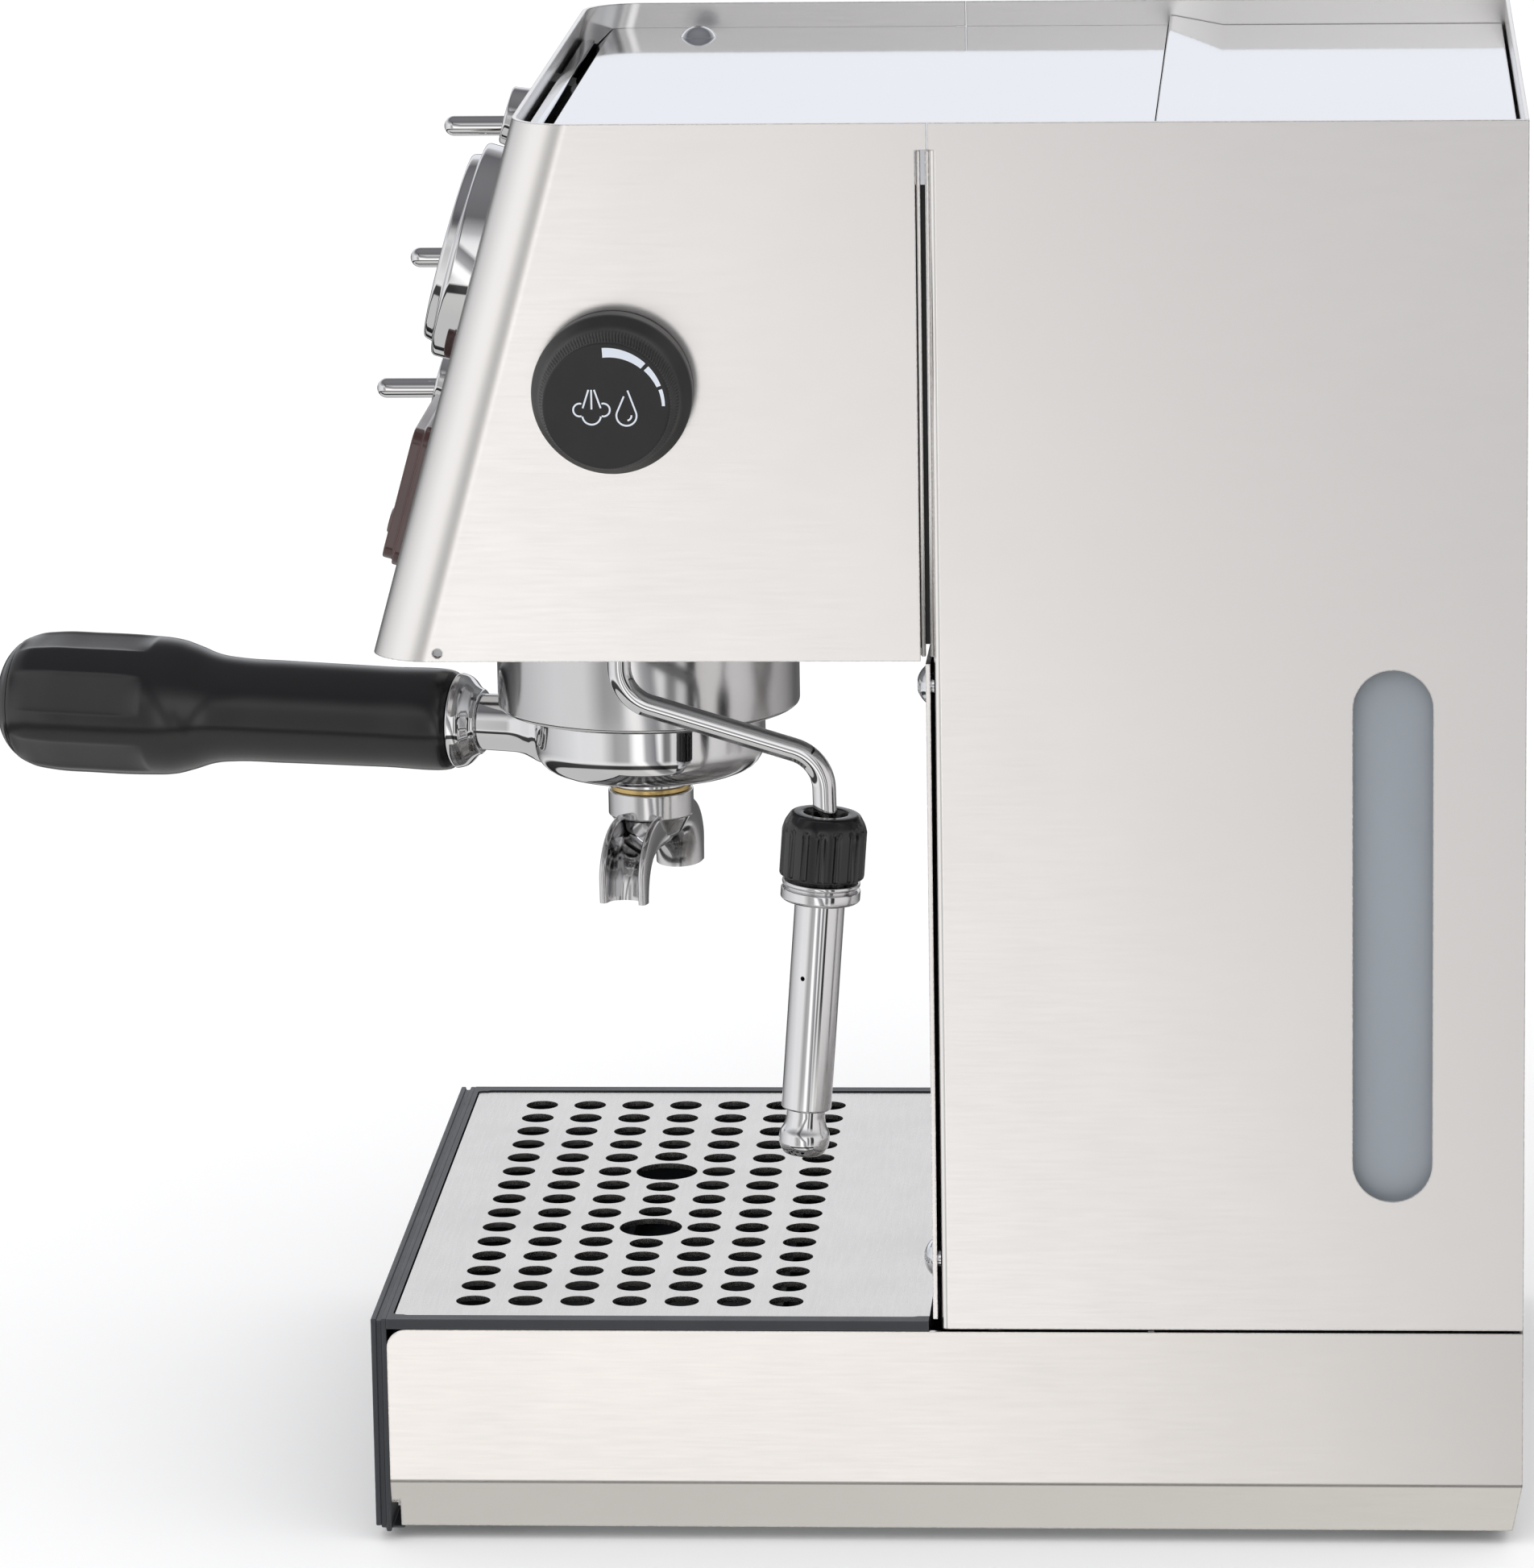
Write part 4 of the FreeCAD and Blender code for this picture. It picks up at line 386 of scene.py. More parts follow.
def roundedPath(points, bend, parts=14):
    # straight runs joined by arcs of the given bend
    out = [points[0]]
    for before, corner, after in zip(points, points[1:], points[2:]):
        back = (before - corner).normalized()
        ahead = (after - corner).normalized()
        half = (math.pi - back.angle(ahead)) / 2
        reach = bend * math.tan(half)
        centre = corner + (back + ahead).normalized() * (bend / math.cos(half))
        start = corner + back * reach - centre
        end = corner + ahead * reach - centre
        out += [centre + start.slerp(end, k / parts) * bend for k in range(parts + 1)]
    out.append(points[-1])
    return out


def tubeMesh(name, path, radius, steps=40, ends=0.5):
    # a bar along path with rounded ends, carried without twist
    bm = bmesh.new()
    rings = []
    across = (path[1] - path[0]).orthogonal().normalized()
    for i, point in enumerate(path):
        ahead = (path[min(i + 1, len(path) - 1)] - path[max(i - 1, 0)]).normalized()
        across = (across - ahead * across.dot(ahead)).normalized()
        other = ahead.cross(across)
        sizes = [(0.0, radius)]
        if i == 0:
            sizes = [(0.0, radius - ends), (ends, radius)]
        if i == len(path) - 1:
            sizes = [(-ends, radius), (0.0, radius - ends)]
        for shift, r in sizes:
            middle = point + ahead * (shift * mm)
            rings.append([bm.verts.new(middle + (across * math.cos(a) + other * math.sin(a)) * (r * mm))
                          for a in (2 * math.pi * k / steps for k in range(steps))])
    for first, second in zip(rings, rings[1:]):
        bridge(bm, first, second)
    bm.faces.new(rings[0])
    bm.faces.new(rings[-1])
    return finishMesh(bm, name)


def linked(name, data):
    made = bpy.data.objects.new(name, data)
    bpy.context.scene.collection.objects.link(made)
    return made


def addPiece(name, mesh, body, finish, stands=()):
    piece = linked(name, mesh)
    mesh.materials.clear()
    mesh.materials.append(finish)
    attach(piece, body)
    if stands:
        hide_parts(*stands)
    return piece


def combined(name, mesh, other, how):
    # one mesh joined with, or cut by, another
    first = linked(name, mesh)
    second = linked(name + "Tool", other)
    cut = first.modifiers.new("cut", "BOOLEAN")
    cut.object = second
    cut.operation = how
    cut.solver = "EXACT"
    made = bpy.data.meshes.new_from_object(first.evaluated_get(bpy.context.evaluated_depsgraph_get()))
    for helper in (first, second):
        bpy.data.objects.remove(helper)
    made.name = name
    return shaded(made)


def joinedMesh(name, meshes):
    bm = bmesh.new()
    for mesh in meshes:
        bm.from_mesh(mesh)
    made = bpy.data.meshes.new(name)
    bm.to_mesh(made)
    bm.free()
    return shaded(made)


def boxMesh(name, low, high, bevel=0.0, segments=2, place=Matrix()):
    # a block between two corners in metres, in the frame of place
    bm = bmesh.new()
    bmesh.ops.create_cube(bm, size=1.0)
    middle, size = (Vector(low) + Vector(high)) / 2, Vector(high) - Vector(low)
    for vert in bm.verts:
        vert.co = place @ (middle + Vector((vert.co.x * size.x, vert.co.y * size.y, vert.co.z * size.z)))
    if bevel:
        bmesh.ops.bevel(bm, geom=bm.edges, offset=bevel * mm, segments=segments, profile=0.5, affect="EDGES")
    return finishMesh(bm, name)


# packed sheets with their edges softened, as (name, finish, edge width, segments, bend width)
softEdges = {
    "head_shell": ("headShell", satinSteel, 0.35, 2),
    "tower_shell": ("towerShell", satinSteel, 0.35, 2),
    "base_housing": ("baseHousing", baseSteel, 0.35, 2, 2.0),
    "tower_front_cover": ("towerFrontCover", satinSteel, 0.35, 2),
    "rear_panel": ("rearPanel", satinSteel, 0.3, 2),
    "cup_tray": ("cupTray", mirrorSteel, 0.4, 3),
    "tank_lid": ("tankLid", mirrorSteel, 0.5, 3),
    "drip_bin": ("dripBin", trayPlastic, 0.5, 3),
    "drip_fascia": ("dripFascia", trayPlastic, 0.4, 3),
    "drip_grate": ("dripGrate", grateSteel, 0.4, 2),
    "display_case": ("displayCase", smokedPlastic, 0.5, 3),
    "display_lens": ("displayLens", darkLens, 0.25, 2),
    "display_button_up": ("buttonUp", smokedPlastic, 0.3, 2),
    "display_button_down": ("buttonDown", smokedPlastic, 0.3, 2),
    "power_inlet": ("powerInlet", partPlastic, 0.4, 2),
    "dome_screws": ("domeScrews", mirrorSteel, 0.12, 1),
}


# which edges of a packed sheet are softened: angles in degrees, lengths in metres
edgeChoice = {"weld": 0.000002, "flat": 0.5, "bendFrom": 6, "bendTo": 30, "bendLength": 0.1,
              "bendSegments": 4, "corner": 38, "sharp": 32.0}


def roundEdges(bm, edges, width, segments):
    bmesh.ops.bevel(bm, geom=edges, offset=width * mm, offset_type="OFFSET", segments=segments, profile=0.5,
                    affect="EDGES", clamp_overlap=True)


def softenedMesh(name, node, width, segments, bendWidth=0):
    e = edgeChoice
    bm = bmesh.new()
    bm.from_mesh(frame["nodes"][node].data)
    bmesh.ops.remove_doubles(bm, verts=bm.verts, dist=e["weld"])
    bmesh.ops.dissolve_limit(bm, angle_limit=math.radians(e["flat"]), verts=bm.verts, edges=bm.edges)
    if bendWidth:
        least, most = math.radians(e["bendFrom"]), math.radians(e["bendTo"])
        bends = [edge for edge in bm.edges if len(edge.link_faces) == 2 and edge.is_convex
                 and edge.calc_length() > e["bendLength"] and least < edge.calc_face_angle(0) < most]
        roundEdges(bm, bends, bendWidth, e["bendSegments"])
    corners = [edge for edge in bm.edges
               if len(edge.link_faces) == 2 and edge.calc_face_angle(0) > math.radians(e["corner"])]
    roundEdges(bm, corners, width, segments)
    return finishMesh(bm, name, e["sharp"])


def slotOf(node):
    return next(part["material_slot"] for part in frame["record"]["subparts"] if part["node"] == node)


for node, (name, finish, *edges) in softEdges.items():
    body = frame["nodes"][node]["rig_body"]
    piece = addPiece(name, softenedMesh(name, node, *edges), body, finish, [node])
    flatten = piece.modifiers.new("flatten", "WEIGHTED_NORMAL")
    flatten.keep_sharp = True
    flatten.weight = 100


# folded returns seen down the seam between head and tower: (from, to) behind the tower's side front; the last
# six keys place a dark matt strip deep in the seam, painted shade in the gap between the returns
seam = {"returns": ((-3.2, -2.05), (-0.95, 0.2)), "depth": 0.9, "thickness": 1.2, "bottomGap": 1.0,
        "topGap": 7.1, "front": 0.2, "shadeStripDepth": 2.4, "shadeStripThickness": 1.0, "shadeStripFrom": -3.0,
        "shadeStripTo": 0.3, "shadeStripBottomGap": 4.0, "shadeStripTopGap": 7.4}


def seamStrips(depth, thickness, runs, bottomGap, topGap, bevel):
    # upright strips at both sides of the tower, each set back by depth from its face
    shellLow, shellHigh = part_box("tower_shell")
    headLow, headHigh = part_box("head_shell")
    front = shellLow.y + seam["front"] * mm
    strips = []
    for side, face in ((-1, shellLow.x), (1, shellHigh.x)):
        xs = sorted((face - side * depth * mm, face - side * (depth + thickness) * mm))
        for start, end in runs:
            strips.append(boxMesh("strip", (xs[0], front + start * mm, headLow.z + bottomGap * mm),
                                  (xs[1], front + end * mm, headHigh.z - topGap * mm), bevel))
    return strips


def makeSeamReturns():
    s = seam
    strips = seamStrips(s["depth"], s["thickness"], s["returns"], s["bottomGap"], s["topGap"], 0.3)
    addPiece("seamReturns", joinedMesh("seamReturns", strips), "machine", satinSteel)


# a dark matt strip set deep behind the returns: painted shade seen down the gap of the seam, not a real part
def makeSeamFilling():
    s = seam
    strips = seamStrips(s["shadeStripDepth"], s["shadeStripThickness"], [(s["shadeStripFrom"], s["shadeStripTo"])],
                        s["shadeStripBottomGap"], s["shadeStripTopGap"], 0.2)
    addPiece("seamShadeStrip", joinedMesh("seamShadeStrip", strips), "machine", mattRubber)


# the tray's front edge, turned up to the sloping panel
trayFront = {"overlap": 0.6, "reach": 2.7, "inset": 21.0, "thickness": 1.0, "step": 0.25}


def makeTrayFront():
    low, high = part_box("cup_tray")
    t = trayFront
    start = (low.x + t["inset"] * mm, low.y - t["reach"] * mm, high.z - (t["step"] + t["thickness"]) * mm)
    end = (high.x - t["inset"] * mm, low.y + t["overlap"] * mm, high.z - t["step"] * mm)
    addPiece("trayFront", boxMesh("trayFront", start, end, 0.3), "machine", mirrorSteel)


makeSeamReturns()
makeSeamFilling()
makeTrayFront()
print("casing done")


# steam knob
steamKnob = {"skirtRadius": 20.6, "skirtLip": 0.3, "skirtLength": 7.4, "bulge": 0.5, "bulgeHeight": 12.6,
             "bandStart": 15.8, "bandEnd": 22.7, "bandRadius": 17.7, "bandEndRadius": 16.3, "bandSteps": 9,
             "faceRadius": 15.9, "faceSetBack": 0.04, "spindleRadius": 3.05, "boreRoof": 4.0, "knurls": 132,
             "knurlDepth": 0.42, "knurlSlant": 0.055 / 7, "knurlFade": 0.8}


def knurled(angle, radius, height):
    k = steamKnob
    start, end = k["bandStart"], k["bandEnd"]
    if height < start + 0.01 or height > end + 0.01 or radius < k["faceRadius"] - 0.9:
        return radius
    inside = min(1, (height - start) / k["knurlFade"], (end + 0.2 - height) / k["knurlFade"])
    wave = 0.5 - 0.5 * math.cos(k["knurls"] * (angle + k["knurlSlant"] * (height - start)))
    return radius - k["knurlDepth"] * inside * wave


def makeSteamKnob():
    k = steamKnob
    low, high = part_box("steam_knob")
    middle = jointPoint("steam_knob_turn")
    depth = (high.x - low.x) / mm - k["faceSetBack"]     # leaves room for the print
    roof = depth - k["boreRoof"]
    start, end = Vector((k["bandRadius"], k["bandStart"])), Vector((k["bandEndRadius"], k["bandEnd"]))
    outline = [(0, roof)]
    outline += rounded([(k["spindleRadius"], roof), (k["spindleRadius"], 0),
                        (k["skirtRadius"] - k["skirtLip"], 0, 0.6), (k["skirtRadius"], k["skirtLength"], 1.0),
                        (k["bandRadius"] + k["bulge"], k["bulgeHeight"], 4.0), start], 0.4)
    outline += [tuple(start.lerp(end, i / k["bandSteps"])) for i in range(1, k["bandSteps"])]
    outline += rounded([end, (k["faceRadius"], depth, 0.7), (0, depth)], 0.5)
    place = placed((low.x, middle.y, middle.z), (1, 0, 0), (0, 1, 0))
    mesh = turnedMesh("steamKnob", outline, place, k["knurls"] * 6, knurled)
    addPiece("steamKnob", mesh, "steam_knob", knobPlastic, ["steam_knob"])


# printed marks on the knob's face, as (side, up) from its middle
knobPrint = {"lift": 0.0, "thickness": 0.1, "line": 0.44, "arcOuter": 14.9, "arcParts": 14,
             "arcs": ((93, 47, 2.5, 1.8), (43, 20.5, 1.6, 1.15), (17, 0, 0.95, 0.75)),
             "steamLines": (((-3.67, 4.2), (-3.67, -0.8)), ((-4.38, 4.2), (-5.9, -0.5)),
                            ((-2.95, 4.2), (-1.35, -0.5))),
             "cloud": ((-6.65, -0.95, 1.65, 75, 285), (-3.67, -2.35, 2.35, 187, 353),
                       (-0.69, -0.95, 1.65, -105, 105)),
             "drop": (5.14, -2.45, 2.55, 162, 378, 24), "dropTip": (5.5, 4.0), "dropGap": (4.55, 2.5),
             "shine": (5.14, -2.45, 1.25, -80, 5)}


def arcPoints(x, y, radius, start, end, parts=16):
    angles = [math.radians(start + (end - start) * k / parts) for k in range(parts + 1)]
    return [(x + radius * math.cos(a), y + radius * math.sin(a)) for a in angles]


def addStrip(bm, place, inner, outer, low, high):
    # a thin raised strip between two lines of (side, up) points
    corners = [[bm.verts.new(place @ fromMm(x, y, z)) for x, y in line]
               for z in (low, high) for line in (inner, outer)]
    lowIn, lowOut, highIn, highOut = corners
    for i in range(len(inner) - 1):
        for a, b in ((highIn, highOut), (lowOut, lowIn), (lowIn, highIn), (highOut, lowOut)):
            bm.faces.new((a[i], a[i + 1], b[i + 1], b[i]))
    for i in (0, -1):
        bm.faces.new((lowIn[i], lowOut[i], highOut[i], highIn[i]))


def addLine(bm, place, points, width, low, high):
    left, right = [], []
    for i, point in enumerate(points):
        before, after = points[max(i - 1, 0)], points[min(i + 1, len(points) - 1)]
        way = (Vector(after) - Vector(before)).normalized()
        off = Vector((-way.y, way.x)) * (width / 2)
        left.append((point[0] + off.x, point[1] + off.y))
        right.append((point[0] - off.x, point[1] - off.y))
    addStrip(bm, place, left, right, low, high)


def makeKnobPrint():
    k = knobPrint
    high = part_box("steam_knob")[1]
    middle = jointPoint("steam_knob_turn")
    place = placed((high.x, middle.y, middle.z), (1, 0, 0), (0, 1, 0))
    bottom, top = k["lift"] - k["thickness"], k["lift"]
    parts = k["arcParts"]
    bm = bmesh.new()
    for start, end, startWidth, endWidth in k["arcs"]:
        outer = arcPoints(0, 0, k["arcOuter"], start, end, parts)
        inner = []
        for i in range(parts + 1):
            a = math.radians(start + (end - start) * i / parts)
            r = k["arcOuter"] - startWidth - (endWidth - startWidth) * i / parts
            inner.append((r * math.cos(a), r * math.sin(a)))
        addStrip(bm, place, inner, outer, bottom, top)
    lines = list(k["steamLines"])
    lines += [arcPoints(*arc) for arc in k["cloud"]]
    lines.append([k["dropGap"]] + arcPoints(*k["drop"]) + [k["dropTip"]])
    lines.append(arcPoints(*k["shine"]))
    for line in lines:
        addLine(bm, place, line, k["line"], bottom, top)
    addPiece("knobPrint", finishMesh(bm, "knobPrint"), "steam_knob", printInk)


makeSteamKnob()
makeKnobPrint()
print("knob done")


# group and portafilter
handleWay = Vector((-math.sin(handleTurn), -math.cos(handleTurn), 0))
handlePlace = placed((groupAxis.x, groupAxis.y, handleZ), handleWay, (0, 0, 1))
groupPlace = Matrix.Translation((groupAxis.x, groupAxis.y, 0))


def groupTurned(degrees):
    return groupPlace @ Matrix.Rotation(math.radians(degrees) - handleTurn, 4, "Z")


groupRing = {"radius": 41.0, "bore": 32.2, "seat": 36.5, "grooveLow": 214.0, "grooveTop": 226.5,
             "screen": 27.0, "mouth": 12.0, "mouthDepth": 7.0, "shoulder": 37.0, "shoulderLow": 22.0,
             "shoulderTop": 27.0, "edge": 1.3, "gapFrom": 27.0, "gapTo": 37.0, "gapHalf": 13.0}


def makeGroupRing():
    g = groupRing
    low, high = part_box("group_ring")
    bottom, top = low.z / mm, high.z / mm
    screenTop = top - g["mouthDepth"]
    outline = rounded([(g["bore"], g["grooveLow"]), (g["bore"], bottom, 0.8),
                       (g["radius"], bottom, g["edge"]), (g["radius"], bottom + g["shoulderLow"], 2.0),
                       (g["shoulder"], bottom + g["shoulderTop"], 2.0), (g["shoulder"], top, 0.4),
                       (g["mouth"], top, 0.4), (g["mouth"], screenTop, 0.4), (g["screen"], screenTop, 0.4),
                       (g["screen"], g["grooveTop"], 0.3), (g["seat"], g["grooveTop"], 0.3),
                       (g["seat"], g["grooveLow"], 0.3), (g["bore"], g["grooveLow"])], 0.5)
    mesh = turnedMesh("groupRing", outline[:-1], groupPlace, 144, closed=True)
    entry = joints["portafilter_turn"]["range_deg"][0]     # the ears come up through gaps at this turn
    gapLow = fromMm(g["gapFrom"], -g["gapHalf"], bottom - 1)
    gapHigh = fromMm(g["gapTo"], g["gapHalf"], g["grooveLow"] + 1)
    gaps = [boxMesh("gap", gapLow, gapHigh, place=groupTurned(side + entry)) for side in (0, 180)]
    mesh = combined("groupRing", mesh, joinedMesh("gaps", gaps), "DIFFERENCE")
    addPiece("groupRing", mesh, "machine", satinChrome, ["group_ring"])


bowl = {"radius": 31.5, "wall": 2.2, "floor": 183.0, "floorThickness": 4.0, "top": 218.5, "bend": 9.0,
        "drain": 6.0, "bossRadius": 11.0, "bossDrop": 4.0, "earRadius": 36.0, "earHeight": 4.0,
        "earHalf": 9.0, "earFrom": 20.0, "earTo": 40.0}
neck = {"start": 29.4, "flare": 10.6, "lip": 1.6, "waist": 6.5, "radius": 7.7, "end": 47.4}


def bowlShell():
    b = bowl
    r, inner, drain = b["radius"], b["radius"] - b["wall"], b["drain"]
    floor, bossLow = b["floor"], b["floor"] - b["bossDrop"]
    outline = rounded([(drain, floor + 3), (drain, bossLow, 0.3), (b["bossRadius"], bossLow, 0.4),
                       (b["bossRadius"], floor, 0.8), (r, floor, b["bend"]), (r, b["top"], 0.3),
                       (inner, b["top"], 0.3), (inner, floor + b["floorThickness"], 6.0), (drain, floor + 3)],
                      0.3, 9)
    return turnedMesh("shell", outline[:-1], groupPlace, 144, closed=True)


def neckStem():
    n = neck
    outline = rounded([(0, n["start"]), (n["flare"], n["start"], 0.1),
                       (n["flare"] - 0.4, n["start"] + n["lip"], 0.6),
                       (n["radius"] + 0.2, n["start"] + n["waist"], 4.0), (n["radius"], n["end"], 0.3),
                       (0, n["end"])], 0.3, 7)
    return turnedMesh("stem", outline, handlePlace, 72)


def bowlEar(side):
    # a slice of a ring round the bowl's rim
    b = bowl
    inner, low, half = b["radius"] - 1, b["top"] - b["earHeight"], b["earHalf"]
    outline = rounded([(inner, low), (b["earRadius"], low, 0.4), (b["earRadius"], b["top"], 0.4),
                       (inner, b["top"])], 0.3, 3)
    ring = turnedMesh("ear", outline, groupTurned(side), 96, closed=True)
    slab = boxMesh("slab", fromMm(b["earFrom"], -half, b["top"] - 18.5),
                   fromMm(b["earTo"], half, b["top"] + 11.5), place=groupTurned(side))
    return combined("ear", ring, slab, "INTERSECT")


def makeBowl():
    mesh = combined("portafilterBowl", bowlShell(), neckStem(), "UNION")
    for side in (0, 180):
        mesh = combined("portafilterBowl", mesh, bowlEar(side), "UNION")
    addPiece("portafilterBowl", mesh, "portafilter", chromePlate, ["portafilter_bowl"])


# outline: (distance from the group's axis, radius) along the grip
grip = {"start": 55.0, "end": 187.5, "cap": 6.6, "neckRadius": 13.5, "tangHole": 4.2, "flutes": 6,
        "fluteDepth": 1.15, "fluteTurn": 60.0, "fluteMiddle": 160.5, "fluteHalf": 19.5, "seam": 0.45,
        "endBulge": 6.0, "curveParts": 10,
        "outline": ((55, 12.5), (56.6, 13.5), (76, 13.8), (104, 14.1), (119, 14.4), (125, 15.2), (131, 17.2),
                    (136, 18.6), (143, 19.2), (160, 19.4), (172, 19.1), (178, 18.0), (182.5, 15.4),
                    (185.8, 10.6), (187.5, 0))}


def gripOutline(first, last):
    g = grip
    points = g["outline"]
    curve = bpy.data.curves.new("gripCurve", "CURVE")
    spline = curve.splines.new("BEZIER")
    spline.bezier_points.add(len(points) - 1)
    for knot, (distance, radius) in zip(spline.bezier_points, points):
        knot.co = (distance, radius, 0)
        knot.handle_left_type = knot.handle_right_type = "AUTO"
    spline.bezier_points[-1].handle_left_type = "FREE"
    spline.bezier_points[-1].handle_left = (points[-1][0], g["endBulge"], 0)
    curve.resolution_u = g["curveParts"]
    helper = bpy.data.objects.new("gripCurve", curve)
    line = [(v.co.y, v.co.x) for v in bpy.data.meshes.new_from_object(helper).vertices]
    bpy.data.objects.remove(helper)
    return [(max(r, 0.0), d) for r, d in line if first - 0.001 <= d <= last + 0.001]


def fluted(angle, radius, height):
    g = grip
    away = (height - g["fluteMiddle"]) / g["fluteHalf"]
    if abs(away) >= 1:
        return radius
    wave = max(0, (math.cos(g["flutes"] * angle + math.radians(g["fluteTurn"])) + 0.25) / 1.25) ** 0.6
    return radius - g["fluteDepth"] * wave * (1 - away ** 8)


def makeGrip():
    g = grip
    seamMiddle = g["end"] - g["cap"]
    seamLow = seamMiddle - g["seam"] / 2
    curve = gripOutline(g["start"], seamMiddle)
    edge = curve[-1][0]
    outline = [(g["tangHole"], g["start"])] + curve[:-1]
    outline += rounded([curve[-1], (edge - 0.1, seamLow, 0.3), (edge - 1.2, seamLow + 0.05),
                        (0, seamMiddle)], 0.3)
    mesh = turnedMesh("handleGrip", outline, handlePlace, 180, fluted)
    addPiece("handleGrip", mesh, "portafilter", handlePlastic, ["handle_grip"])


def makeCap():
    g = grip
    start = g["end"] - g["cap"]
    curve = gripOutline(start, g["end"])
    edge = curve[0][0]
    outline = [(0, start + g["seam"] / 2), (edge - 1.0, start + g["seam"] / 2),
               (edge - 0.2, start + g["seam"] * 0.7)]
    outline += curve[2:-1] + [(0, g["end"])]
    mesh = turnedMesh("handleCap", outline, handlePlace, 120)
    addPiece("handleCap", mesh, "portafilter", handlePlastic, ["handle_cap"])


ferrule = {"bore": 4.1, "gap": 0.05, "lipRadius": 8.8, "waistRadius": 9.4, "flareRadius": 12.4,
           "flareAt": 0.55}


def makeFerrule():
    f = ferrule
    wide, end = grip["neckRadius"], grip["start"]
    start = neck["end"] + f["gap"]
    flare = neck["end"] + (end - neck["end"]) * f["flareAt"]
    outline = rounded([(f["bore"], start), (f["lipRadius"], start, 0.6),
                       (f["waistRadius"], neck["end"] + 1.6, 1.0), (f["flareRadius"], flare, 2.0),
                       (wide - 0.4, end - 0.6, 0.5), (wide - 1.4, end - 0.02), (f["bore"], end - 0.02)], 0.5)
    mesh = turnedMesh("handleFerrule", outline, handlePlace, 120, closed=True)
    addPiece("handleFerrule", mesh, "portafilter", chromePlate, ["handle_ferrule"])


# path: the channel's four curve points as (out, up)
spout = {"hubTop": 177.5, "hubRadius": 11.6, "hubLow": 170.6, "shoulder": 9.8, "domeLow": 164.2,
         "outer": 6.4, "inner": 4.5, "wallRise": 3.4, "wallBulge": 1.6, "tipFrom": 0.8, "tipDrop": 6.0,
         "hole": 2.5, "holeStart": 4.5, "holeLength": 9.0, "holeUp": 167.4, "pathSteps": 32,
         "path": ((2.5, 166.8), (17.0, 167.6), (24.4, 163.5), (25.2, 151.2))}


def channelSection(t):
    # an open trough with rounded lips, t being the share of the way to its tip
    s = spout
    outer, inner = s["outer"], s["inner"]
    rise = s["wallRise"] + s["wallBulge"] * math.sin(math.pi * min(1, t * 1.1))
    rise -= max(0, t - s["tipFrom"]) * s["tipDrop"]
    half = [math.pi * k / 12 for k in range(13)]
    lipTurn = [math.pi * k / 6 for k in range(7)]
    lip, middle = (outer - inner) / 2, (outer + inner) / 2
    back = [(outer * math.cos(a), -outer * math.sin(a)) for a in half]
    trough = [(-inner * math.cos(a), -inner * math.sin(a)) for a in half]
    leftLip = [(-middle - lip * math.cos(a), rise + lip * math.sin(a)) for a in lipTurn]
    rightLip = [(middle - lip * math.cos(a), rise + lip * math.sin(a)) for a in lipTurn]
    return back + leftLip + trough + rightLip


def spoutHub():
    s = spout
    outline = rounded([(0, s["hubTop"]), (s["hubRadius"], s["hubTop"], 0.5),
                       (s["hubRadius"], s["hubLow"], 0.8), (s["hubRadius"] - 0.7, s["hubLow"] - 0.5, 0.4),
                       (s["shoulder"], s["hubLow"] - 2.4, 1.5),
                       (s["shoulder"] - 1.5, s["domeLow"] + 1.0, 3.0), (0, s["domeLow"])], 0.5, 6)
    return turnedMesh("hub", outline, groupPlace, 96)


def spoutChannel(way):
    s = spout
    middle = Vector((groupAxis.x, groupAxis.y, 0))
    a, b, c, d = [middle + way * (out * mm) + fromMm(0, 0, up) for out, up in s["path"]]
    path = []
    for k in range(s["pathSteps"] + 1):
        t = k / s["pathSteps"]
        path.append(a * (1 - t) ** 3 + b * 3 * t * (1 - t) ** 2 + c * 3 * t * t * (1 - t) + d * t ** 3)
    return sweptMesh("channel", path, channelSection, way.cross(Vector((0, 0, 1))))


def spoutBore(way):
    s = spout
    start = Vector((groupAxis.x, groupAxis.y, s["holeUp"] * mm)) + way * (s["holeStart"] * mm)
    outline = [(0, 0), (s["hole"], 0), (s["hole"], s["holeLength"]), (0, s["holeLength"])]
    return turnedMesh("bore", outline, placed(start, way), 32)


def makeTwinSpout():
    sideways = Vector((math.cos(handleTurn), -math.sin(handleTurn), 0))
    mesh = spoutHub()
    for side in (-1, 1):
        mesh = combined("twinSpout", mesh, spoutChannel(sideways * side), "UNION")
    for side in (-1, 1):
        mesh = combined("twinSpout", mesh, spoutBore(sideways * side), "DIFFERENCE")
    addPiece("twinSpout", mesh, "portafilter", satinChrome, ["twin_spout"])


spoutSeal = {"radius": 10.9, "bore": 6.2, "gap": 0.03}


def makeSpoutSeal():
    r, bore = spoutSeal["radius"], spoutSeal["bore"]
    bottom = spout["hubTop"] + spoutSeal["gap"]
    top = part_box("spout_seal")[1].z / mm
    outline = rounded([(bore, bottom), (r, bottom, 0.3), (r, top, 0.3), (bore, top)], 0.3, 4)
    mesh = turnedMesh("spoutSeal", outline, groupPlace, 96, closed=True)
    addPiece("spoutSeal", mesh, "portafilter", bareBrass, ["spout_seal"])


makeGroupRing()
makeBowl()
makeGrip()
makeCap()
makeFerrule()
makeTwinSpout()
makeSpoutSeal()
print("group and portafilter done")


# steam wand: heights along it are counted from the top of its grip
wand = {"pipeRadius": 3.1, "bend": 11.0, "lean": 4.5, "drop": 220.0, "far": 203.5, "topRadius": 7.8,
        "length": 80.5, "partGap": 0.05, "leanShift": 0.6}
wandGrip = {"radius": 11.2, "length": 17.0, "flutes": 16, "fluteDepth": 0.95, "fluteFrom": 3.2,
            "fluteRun": 2.2, "sideFrom": 4.6, "sideSteps": 16, "boreGap": 0.15, "well": 2.2,
            "wellRadius": 5.4}
